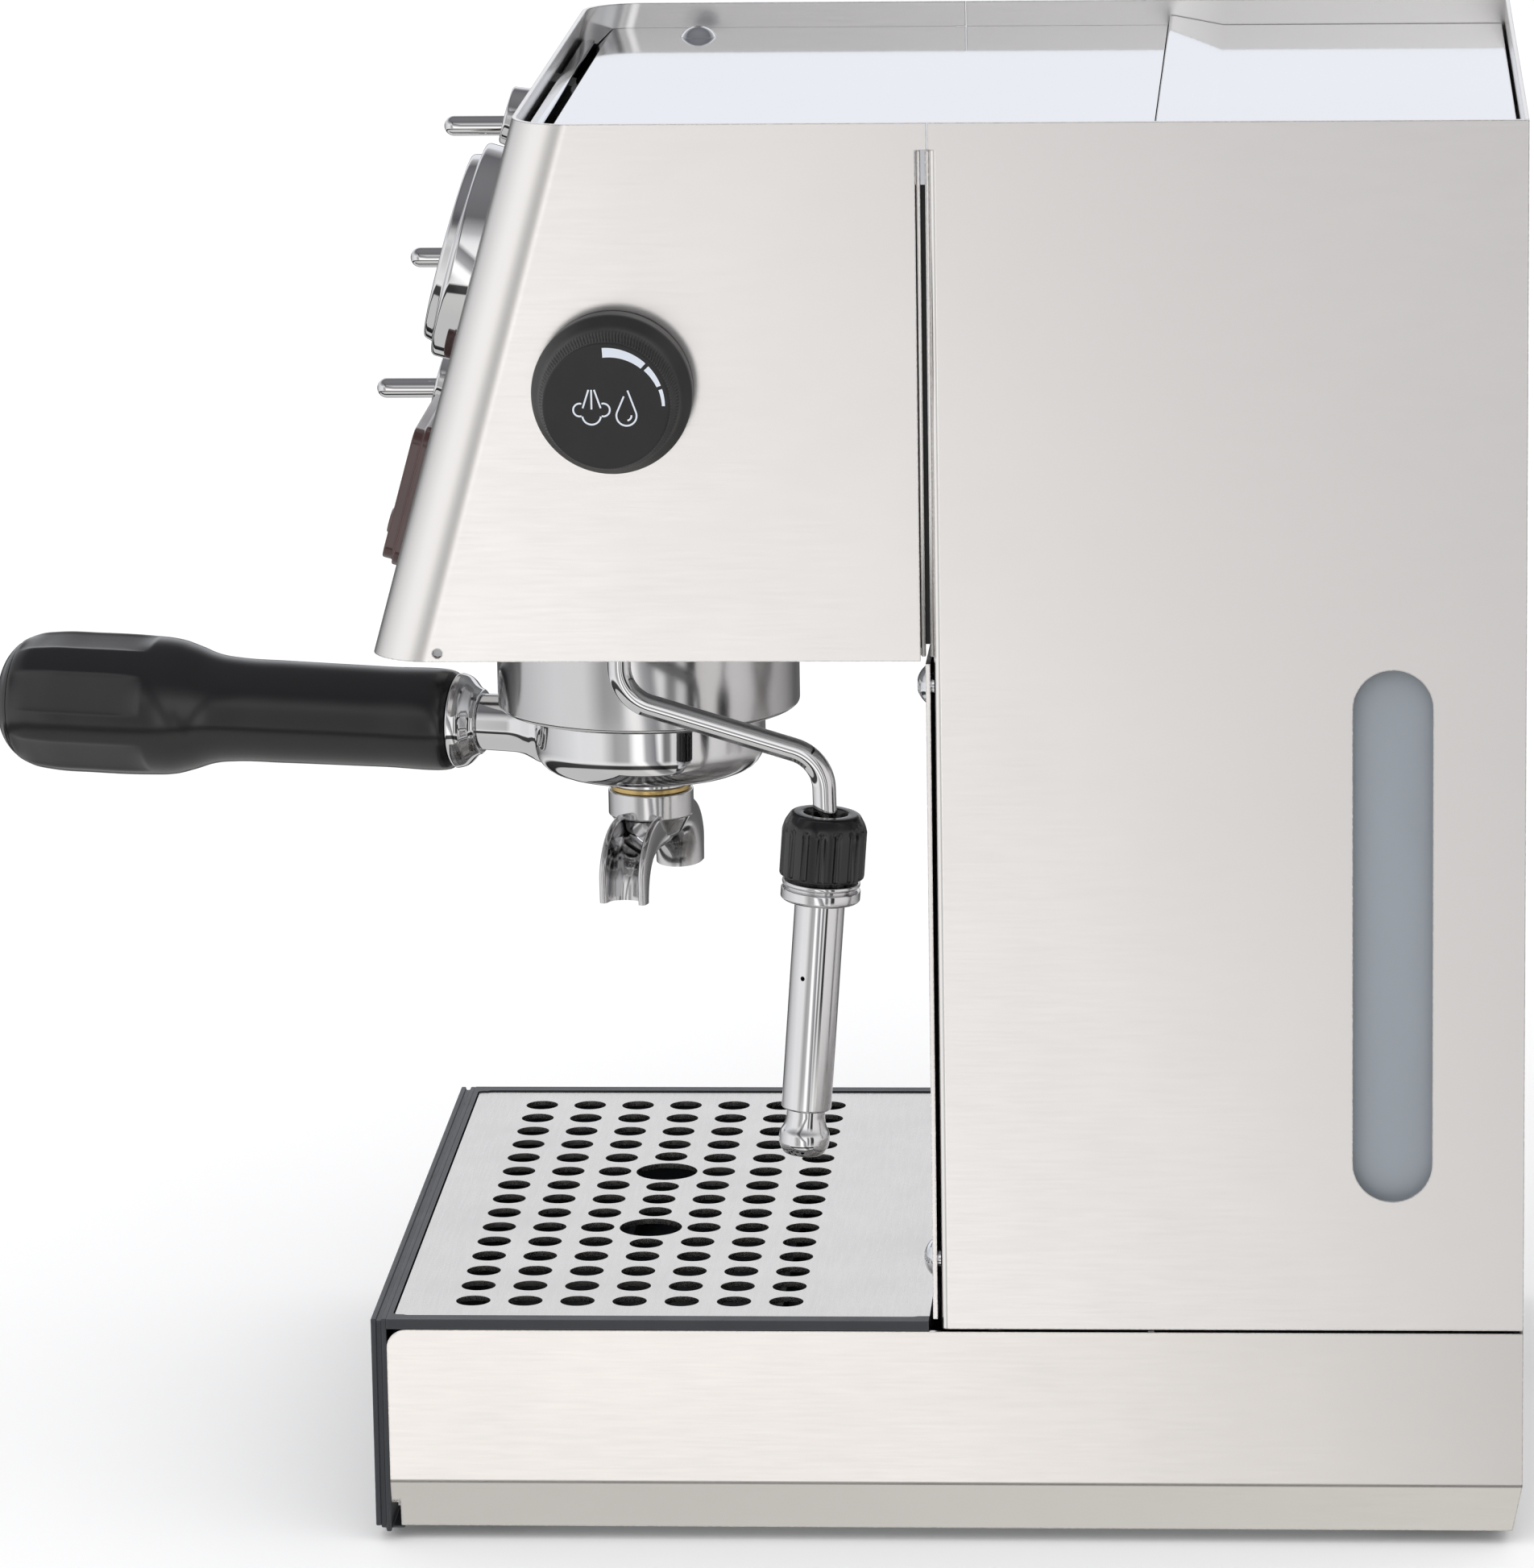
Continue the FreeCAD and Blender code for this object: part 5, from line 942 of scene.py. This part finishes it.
# steps: (beyond the radius, down from the grip, bend) round the flange's outside
wandFlange = {"radius": 10.4, "bore": 3.5, "height": 6.6,
              "steps": ((-1.8, 0.05, 0.3), (-1.0, 0.9, 0.3), (-0.1, 1.2, 0.4), (-0.1, 2.3, 0.4),
                        (-0.9, 2.6, 0.3), (-0.9, 3.0, 0.3), (0.1, 3.3, 0.4), (0.1, 6.1, 0.5),
                        (-0.7, 6.6, 0.3))}
wandTube = {"radius": 6.6, "wall": 1.4, "holeRadius": 0.65, "holeLength": 12.0, "holeDown": 20.0}
wandTip = {"length": 12.2, "holeRadius": 1.0, "holeDepth": 5.0}
wandLean = math.radians(wand["lean"])


def wandGripTop():
    # the top face's middle: the lean raises one side of that face above it
    swivel = jointPoint("wand_swivel")
    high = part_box("wand_grip")[1]
    y = high.y - (wandGrip["radius"] + wand["leanShift"]) * mm
    return Vector((swivel.x, y, high.z - wand["topRadius"] * math.sin(wandLean) * mm))


wandPlace = placed(wandGripTop(), (0, -math.sin(wandLean), -math.cos(wandLean)), (0, 1, 0))


def makeWandPipe():
    w = wand
    swivel = jointPoint("wand_swivel")
    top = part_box("wand_pipe")[1].z
    end = wandGripTop()
    points = [(swivel.y, top), (swivel.y, w["drop"] * mm), (end.y - 0.5 * mm, w["far"] * mm),
              (end.y, end.z - wandGrip["length"] * 0.6 * mm)]
    path = roundedPath([Vector((swivel.x, y, z)) for y, z in points], w["bend"] * mm)
    addPiece("wandPipe", tubeMesh("wandPipe", path, w["pipeRadius"], 48), "steam_wand", chromePlate,
             ["wand_pipe"])


def gripFlutes(angle, radius, height):
    g = wandGrip
    if radius < g["radius"] - 1.5 or height < g["fluteFrom"]:
        return radius
    start = min(1, (height - g["fluteFrom"]) / g["fluteRun"]) ** 0.5
    end = min(1, max(0, (g["length"] - 0.2 - height) / 0.7))
    wave = max(0, math.cos(g["flutes"] * angle)) ** 0.8
    return radius - g["fluteDepth"] * start * end * wave


def makeWandGrip():
    g = wandGrip
    r, length, bore = g["radius"], g["length"], wand["pipeRadius"] + g["boreGap"]
    start = g["sideFrom"]
    outline = rounded([(bore, g["well"]), (g["wellRadius"], g["well"], 0.4),
                       (g["wellRadius"] + 0.5, 0.0, 0.4), (r - 2.2, 0.0, 0.8), (r, 3.6, 2.6),
                       (r, length, 0.7), (bore, length)], 0.5, 8)
    outline = [p for p in outline if not (p[0] > r - 0.001 and start - 0.6 < p[1] < length - 0.9)]
    side = [(r, start + (length - start - 1.0) * k / g["sideSteps"]) for k in range(g["sideSteps"] + 1)]
    outline = [p for p in outline if p[1] < start] + side + [p for p in outline if p[1] >= start]
    mesh = turnedMesh("wandGrip", outline, wandPlace, g["flutes"] * 12, gripFlutes, closed=True)
    addPiece("wandGrip", mesh, "steam_wand", gripPlastic, ["wand_grip"])


def makeWandFlange():
    f = wandFlange
    r, start = f["radius"], wandGrip["length"]
    outline = [(f["bore"], start + wand["partGap"])]
    outline += [(r + out, start + down, bend) for out, down, bend in f["steps"]]
    outline.append((f["bore"], start + f["height"]))
    mesh = turnedMesh("wandFlange", rounded(outline, 0.3, 4), wandPlace, 96, closed=True)
    addPiece("wandFlange", mesh, "steam_wand", chromePlate, ["wand_flange"])


def makeWandTube():
    t = wandTube
    r, end = t["radius"], wand["length"]
    start = wandGrip["length"] + wandFlange["height"] + wand["partGap"]
    outline = rounded([(r - t["wall"], start), (r, start, 0.3), (r, end - 0.2, 0.6), (r - 2.2, end, 0.3),
                       (r - 2.6, end)], 0.4, 6)
    mesh = turnedMesh("wandTube", outline, wandPlace, 96, closed=True)
    hole, depth = t["holeRadius"], t["holeLength"]
    holePlace = placed(wandPlace @ fromMm(0, 0, start + t["holeDown"]), (1, -0.5, 0))
    cut = turnedMesh("airHole", [(0, 0), (hole, 0), (hole, depth), (0, depth)], holePlace, 24)
    mesh = combined("wandTube", mesh, cut, "DIFFERENCE")
    addPiece("wandTube", mesh, "steam_wand", pipeSteel, ["wand_tube"])


def makeWandTip():
    t = wandTip
    r, start = wandTube["radius"], wand["length"]
    end, hole = start + t["length"], t["holeRadius"]
    outline = rounded([(0, start + wand["partGap"]), (r - 1.5, start + wand["partGap"], 0.2),
                       (r - 1.5, start + 2.6, 2.0), (r - 0.9, start + 4.8, 2.0), (r + 0.1, start + 6.6, 1.5),
                       (r + 0.1, end - 2.4, 1.2), (r - 1.3, end, 0.8), (hole, end, 0.3),
                       (hole, end - t["holeDepth"], 0.2), (0, end - t["holeDepth"])], 0.4, 7)
    mesh = turnedMesh("wandTip", outline, wandPlace, 96)
    addPiece("wandTip", mesh, "steam_wand", pipeSteel, ["wand_tip"])


makeWandPipe()
makeWandGrip()
makeWandFlange()
makeWandTube()
makeWandTip()
print("wand done")


# front panel controls
gauge = {"radius": 28.8, "height": 7.6, "lens": 22.5, "lensRise": 3.0, "bore": 23.1, "seat": 0.05,
         "lensSeat": 0.6, "zero": -135, "sweep": 270, "marks": 16}
dial = {"radius": 21.6, "bore": 1.06, "up": 3.0, "thickness": 0.8, "ink": 0.05, "markEnd": 19.6,
        "long": (3.4, 0.55), "short": (1.8, 0.3), "rimLine": (20.1, 0.35), "numbers": (0, 4, 8, 12, 16),
        "numberRadius": 13.4, "numberSize": 4.2, "numberHeight": 0.04}


def panelPlace(point, out=0.0):
    return placed(point + panelOut * (out * mm), panelOut, panelSide)


def numberMesh(text, size, place):
    curve = bpy.data.curves.new("number", "FONT")
    curve.body = text
    curve.size = size * mm
    curve.align_x = "CENTER"
    curve.align_y = "CENTER"
    curve.extrude = dial["numberHeight"] * mm
    helper = bpy.data.objects.new("number", curve)
    mesh = bpy.data.meshes.new_from_object(helper)
    bpy.data.objects.remove(helper)
    mesh.transform(place)
    return mesh


def dialAngle(value):
    return 90 - gauge["zero"] - gauge["sweep"] * value / gauge["marks"]


def makeBezel(place):
    g = gauge
    r, h, lens, lip = g["radius"], g["height"], g["lens"], g["height"] + g["lensRise"]
    seat = h - g["lensSeat"]
    outline = rounded([(g["bore"], seat), (g["bore"], g["seat"], 0.2), (r, g["seat"], 0.3), (r, h, 1.4),
                       (lens + 3.0, h + 0.1, 0.5), (lens + 2.2, lip, 1.0), (lens, lip, 0.4),
                       (lens, seat, 0.2), (g["bore"], seat)], 0.4, 6)
    mesh = turnedMesh("gaugeBezel", outline[:-1], place, 144, closed=True)
    addPiece("gaugeBezel", mesh, "machine", chromePlate, ["gauge_bezel"])


def makeDial(place):
    d = dial
    low, up = d["up"] - d["thickness"], d["up"]
    outline = rounded([(d["bore"], low), (d["radius"], low), (d["radius"], up, 0.2), (d["bore"], up)], 0.1, 2)
    mesh = turnedMesh("gaugeDial", outline, place, 96, closed=True)
    addPiece("gaugeDial", mesh, "machine", dialEnamel, ["gauge_dial"])


def makeDialMarks(place):
    d = dial
    low, high = d["up"] - d["ink"], d["up"] + d["ink"]
    end = d["markEnd"]
    bm = bmesh.new()
    for i in range(gauge["marks"] + 1):
        angle = math.radians(dialAngle(i))
        length, width = d["short"] if i % 4 else d["long"]
        line = [(r * math.cos(angle), r * math.sin(angle)) for r in (end - length, end)]
        addLine(bm, place, line, width, low, high)
    radius, width = d["rimLine"]
    addLine(bm, place, arcPoints(0, 0, radius, dialAngle(0), dialAngle(gauge["marks"]), 60), width, low, high)
    marks = [finishMesh(bm, "marks")]
    for value in d["numbers"]:
        angle = math.radians(dialAngle(value))
        spot = fromMm(d["numberRadius"] * math.cos(angle), d["numberRadius"] * math.sin(angle), d["up"])
        marks.append(numberMesh(str(value), d["numberSize"], place @ Matrix.Translation(spot)))
    addPiece("gaugeMarks", joinedMesh("gaugeMarks", marks), "machine", dialInk)


collar = {"radius": 10.4, "height": 10.5, "bore": 5.9, "seat": 0.05, "out": 1.0}
lever = {"radius": 2.75, "reach": 27.0, "ball": 3.8, "neck": 1.9, "neckFrom": 3.4, "pinRadius": 0.9,
         "pinHalf": 5.4}


def collarMesh(pivot):
    c = collar
    r, h, bore, seat = c["radius"], c["height"], c["bore"], c["seat"]
    outline = rounded([(bore, seat), (r, seat, 0.3), (r, 1.5, 0.5), (r - 1.3, 3.0, 1.2),
                       (r - 2.2, h - 2.0, 2.0), (r - 2.4, h - 0.4, 0.8), (r - 3.3, h, 0.4),
                       (bore + 0.6, h - 0.6, 0.5), (bore, h - 3.0, 0.5), (bore, seat)], 0.4, 6)
    return turnedMesh("collar", outline[:-1], panelPlace(pivot, c["out"]), 96, closed=True)


def leverMesh(name, pivot):
    # a ball, a neck and a round-ended rod towards the front, with a cross pin through the ball
    v = lever
    r, ball, half = v["radius"], v["ball"], v["pinHalf"]
    end = v["reach"] + 1.0 - r
    outline = [(ball * math.sin(a), -ball * math.cos(a)) for a in (math.pi * k / 16 for k in range(13))]
    outline += rounded([(v["neck"], v["neckFrom"]), (v["neck"], v["neckFrom"] + 1.2, 0.5),
                        (r - 0.2, 6.0, 1.0), (r, 10.0, 1.0), (r, end - 2.0)], 0.4, 5)
    outline += [(r * math.cos(a), end + r * math.sin(a)) for a in (math.pi / 2 * k / 10 for k in range(10))]
    outline.append((0, end + r))
    rod = turnedMesh("lever", outline, placed(pivot, (0, -1, 0), (1, 0, 0)), 48)
    pin = turnedMesh("pin", [(0, -half), (v["pinRadius"], -half), (v["pinRadius"], half), (0, half)],
                     placed(pivot, (1, 0, 0)), 24)
    return combined(name, rod, pin, "UNION")


def makeToggles():
    collars = []
    for name in ("power", "brew", "steam"):
        pivot = jointPoint("lever_" + name + "_flip")
        collars.append(collarMesh(pivot))
        leverName = "lever" + name.capitalize()
        addPiece(leverName, leverMesh(leverName, pivot), "lever_" + name, chromePlate,
                 ["toggle_lever_" + name])
    addPiece("toggleCollars", joinedMesh("toggleCollars", collars), "machine", chromePlate,
             ["toggle_collars"])


gaugePlace = panelPlace(jointPoint("gauge_sweep"))
makeBezel(gaugePlace)
makeDial(gaugePlace)
makeDialMarks(gaugePlace)
makeToggles()
print("front panel done")


# water in the tank, standing clear of the outlet valve
water = {"wall": 2.6, "floor": 26.0, "level": 0.62, "bend": 4.0}


def makeWater():
    low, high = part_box("water_tank")
    inset = water["wall"] * mm
    top = low.z + (high.z - low.z) * water["level"]
    mesh = boxMesh("tankWaterFill", (low.x + inset, low.y + inset, low.z + water["floor"] * mm),
                   (high.x - inset, high.y - inset, top), water["bend"], 4)
    addPiece("tankWaterFill", mesh, "water_tank", tankWater)


makeWater()
print("water done")


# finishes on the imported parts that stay
finishFor = {"steel_satin": satinSteel, "steel_bright": pipeSteel, "steel_zinc": zincSteel,
             "chrome": chromePlate, "brass": bareBrass, "plastic_black": partPlastic,
             "plastic_handle": handlePlastic, "plastic_brown": smokedPlastic, "lens_dark": darkLens,
             "rubber_black": mattRubber, "tank_clear": tankPlastic, "glass_clear": gaugeGlass,
             "dial_white": dialEnamel, "needle_black": dialInk, "coil_plastic": mouldedPlastic,
             "hose_silicone": siliconeHose}
for node, part in frame["nodes"].items():
    finish = finishFor[slotOf(node)]
    for slot in part.material_slots:
        slot.material = finish
print("packed parts finished")


# stage
floorSheet = {"size": 24.0, "tone": 0.93, "grain": 40.0, "shade": 0.99, "rough": 0.9, "shine": 0.1}


def makeFloor():
    f = floorSheet
    bm = bmesh.new()
    bmesh.ops.create_grid(bm, x_segments=8, y_segments=8, size=f["size"] / 2)
    mesh = bpy.data.meshes.new("floor")
    bm.to_mesh(mesh)
    bm.free()
    sheet = linked("floor", mesh)
    finish, tree, shader = newFinish("floorPaper")
    paper = mixColours(tree, grain(tree, f["grain"]), [f["tone"]] * 3, [f["tone"] * f["shade"]] * 3)
    tree.links.new(paper, shader.inputs["Base Color"])
    shader.inputs["Roughness"].default_value = f["rough"]
    shader.inputs["Specular IOR Level"].default_value = f["shine"]
    mesh.materials.append(finish)
    sheet.visible_glossy = False


# grey levels of the studio round the machine, by degrees from +X towards +Y
surround = ((-180, 0.13), (-150, 0.10), (-138, 0.30), (-110, 0.66), (-70, 0.92), (-45, 0.84), (-30, 0.40),
            (-17, 0.48), (-12, 0.98), (15, 1.00), (19, 0.20), (24, 0.24), (27, 0.76), (32, 0.68), (34, 0.04),
            (49, 0.06), (52, 0.56), (74, 0.52), (86, 0.20), (98, 0.34), (125, 0.56), (150, 0.14), (180, 0.13))


# colours by height, from straight down (0) to straight up (1), and how far they replace the greys above
upright = ((0.0, (0.62, 0.62, 0.61)), (0.19, (0.62, 0.62, 0.61)), (0.215, (0.60, 0.60, 0.59)),
           (0.225, (0.02, 0.02, 0.02)), (0.285, (0.02, 0.02, 0.02)), (0.305, (0.98, 0.98, 0.97)),
           (0.66, (0.84, 0.86, 0.88)), (0.74, (0.55, 0.55, 0.56)), (0.86, (0.16, 0.16, 0.17)),
           (1.0, (0.22, 0.22, 0.23)))
uprightShare = ((0.0, (1, 1, 1)), (0.29, (0.95, 0.95, 0.95)), (0.35, (0, 0, 0)), (0.62, (0, 0, 0)),
                (0.74, (1, 1, 1)))
# a grey fall-off across the wall the knob side faces, brightest low on the left
fallOff = ((0.14, (0.80, 0.80, 0.80)), (0.22, (1.0, 0.99, 0.98)), (0.31, (0.96, 0.95, 0.94)),
           (0.38, (0.38, 0.38, 0.39)), (0.53, (0.20, 0.20, 0.21)), (0.60, (0.8, 0.8, 0.8)))
studio = {"strength": 1.05, "fallSlant": 0.5, "fallTint": (1.36, 1.35, 1.33), "fallFrom": 0.4,
          "fallFull": 0.7, "backWall": (0.87, 0.885, 0.925), "backFrom": -0.35, "backFull": -0.7,
          "backLow": (0.02, 0.08), "backHigh": (0.5, 0.4)}


def surroundColour(tree, x, y, z):
    turn = maths(tree, "MULTIPLY_ADD", maths(tree, "ARCTAN2", y, x), 1 / (2 * math.pi), 0.5)
    stops = [(degrees / 360 + 0.5, (level, level, level * 1.01)) for degrees, level in surround]
    sides = addRamp(tree, turn, stops)
    height = fade(tree, z, -1.0, 1.0)
    return mixColours(tree, addRamp(tree, height, uprightShare), sides, addRamp(tree, height, upright))


def withFallOff(tree, colour, x, y, z):
    slant = maths(tree, "MULTIPLY_ADD", z, studio["fallSlant"], y)
    fall = addRamp(tree, fade(tree, slant, -0.5, 0.5), fallOff)
    fall = mixColours(tree, 1.0, fall, studio["fallTint"], "MULTIPLY")
    facing = fade(tree, x, studio["fallFrom"], studio["fallFull"])
    return mixColours(tree, facing, colour, mixColours(tree, 1.0, colour, fall, "MULTIPLY"))


def withBackWall(tree, colour, x, z):
    wall = maths(tree, "MULTIPLY", fade(tree, x, studio["backFrom"], studio["backFull"]),
                 fade(tree, z, *studio["backLow"]))
    wall = maths(tree, "MULTIPLY", wall, fade(tree, z, *studio["backHigh"]))
    return mixColours(tree, wall, colour, studio["backWall"])


def makeWorld():
    world = bpy.data.worlds.new("studio")
    bpy.context.scene.world = world
    world.use_nodes = True
    tree = world.node_tree
    tree.nodes.clear()
    output = tree.nodes.new("ShaderNodeOutputWorld")
    background = addNode(tree, "Background", {"Strength": studio["strength"]})
    tree.links.new(background.outputs[0], output.inputs["Surface"])
    direction = addNode(tree, "TexCoord").outputs["Generated"]
    parts = addNode(tree, "SeparateXYZ", {0: direction}).outputs
    x, y, z = parts["X"], parts["Y"], parts["Z"]
    colour = withFallOff(tree, surroundColour(tree, x, y, z), x, y, z)
    tree.links.new(withBackWall(tree, colour, x, z), background.inputs["Color"])


# strength, spread in degrees, tilt in degrees
suns = {"topLight": (2.3, 110, (0, 12, 0)), "frontLight": (0.7, 60, (0, 62, -20))}


def addSun(name, strength, angle, tilt):
    light = bpy.data.lights.new(name, "SUN")
    light.energy = strength
    light.angle = math.radians(angle)
    lamp = linked(name, light)
    lamp.rotation_euler = [math.radians(a) for a in tilt]
    lamp.visible_glossy = False


cameraRig = {"place": (2.11941, 0.15720, 0.67822), "turn": (77.0914, 0.7888, 93.2975), "lens": 185.344,
             "shift": (-0.0514, -0.0241), "sensor": 36, "near": 0.05, "far": 60}


def makeCamera():
    c = cameraRig
    camera = linked("camera", bpy.data.cameras.new("camera"))
    camera.location = c["place"]
    camera.rotation_euler = [math.radians(a) for a in c["turn"]]
    camera.data.lens = c["lens"]
    camera.data.sensor_width = c["sensor"]
    camera.data.sensor_fit = "AUTO"
    camera.data.shift_x, camera.data.shift_y = c["shift"]
    camera.data.clip_start = c["near"]
    camera.data.clip_end = c["far"]
    bpy.context.scene.camera = camera


makeFloor()
makeWorld()
for name, settings in suns.items():
    addSun(name, *settings)
makeCamera()
bpy.context.scene.view_settings.view_transform = "Standard"
print("stage done")
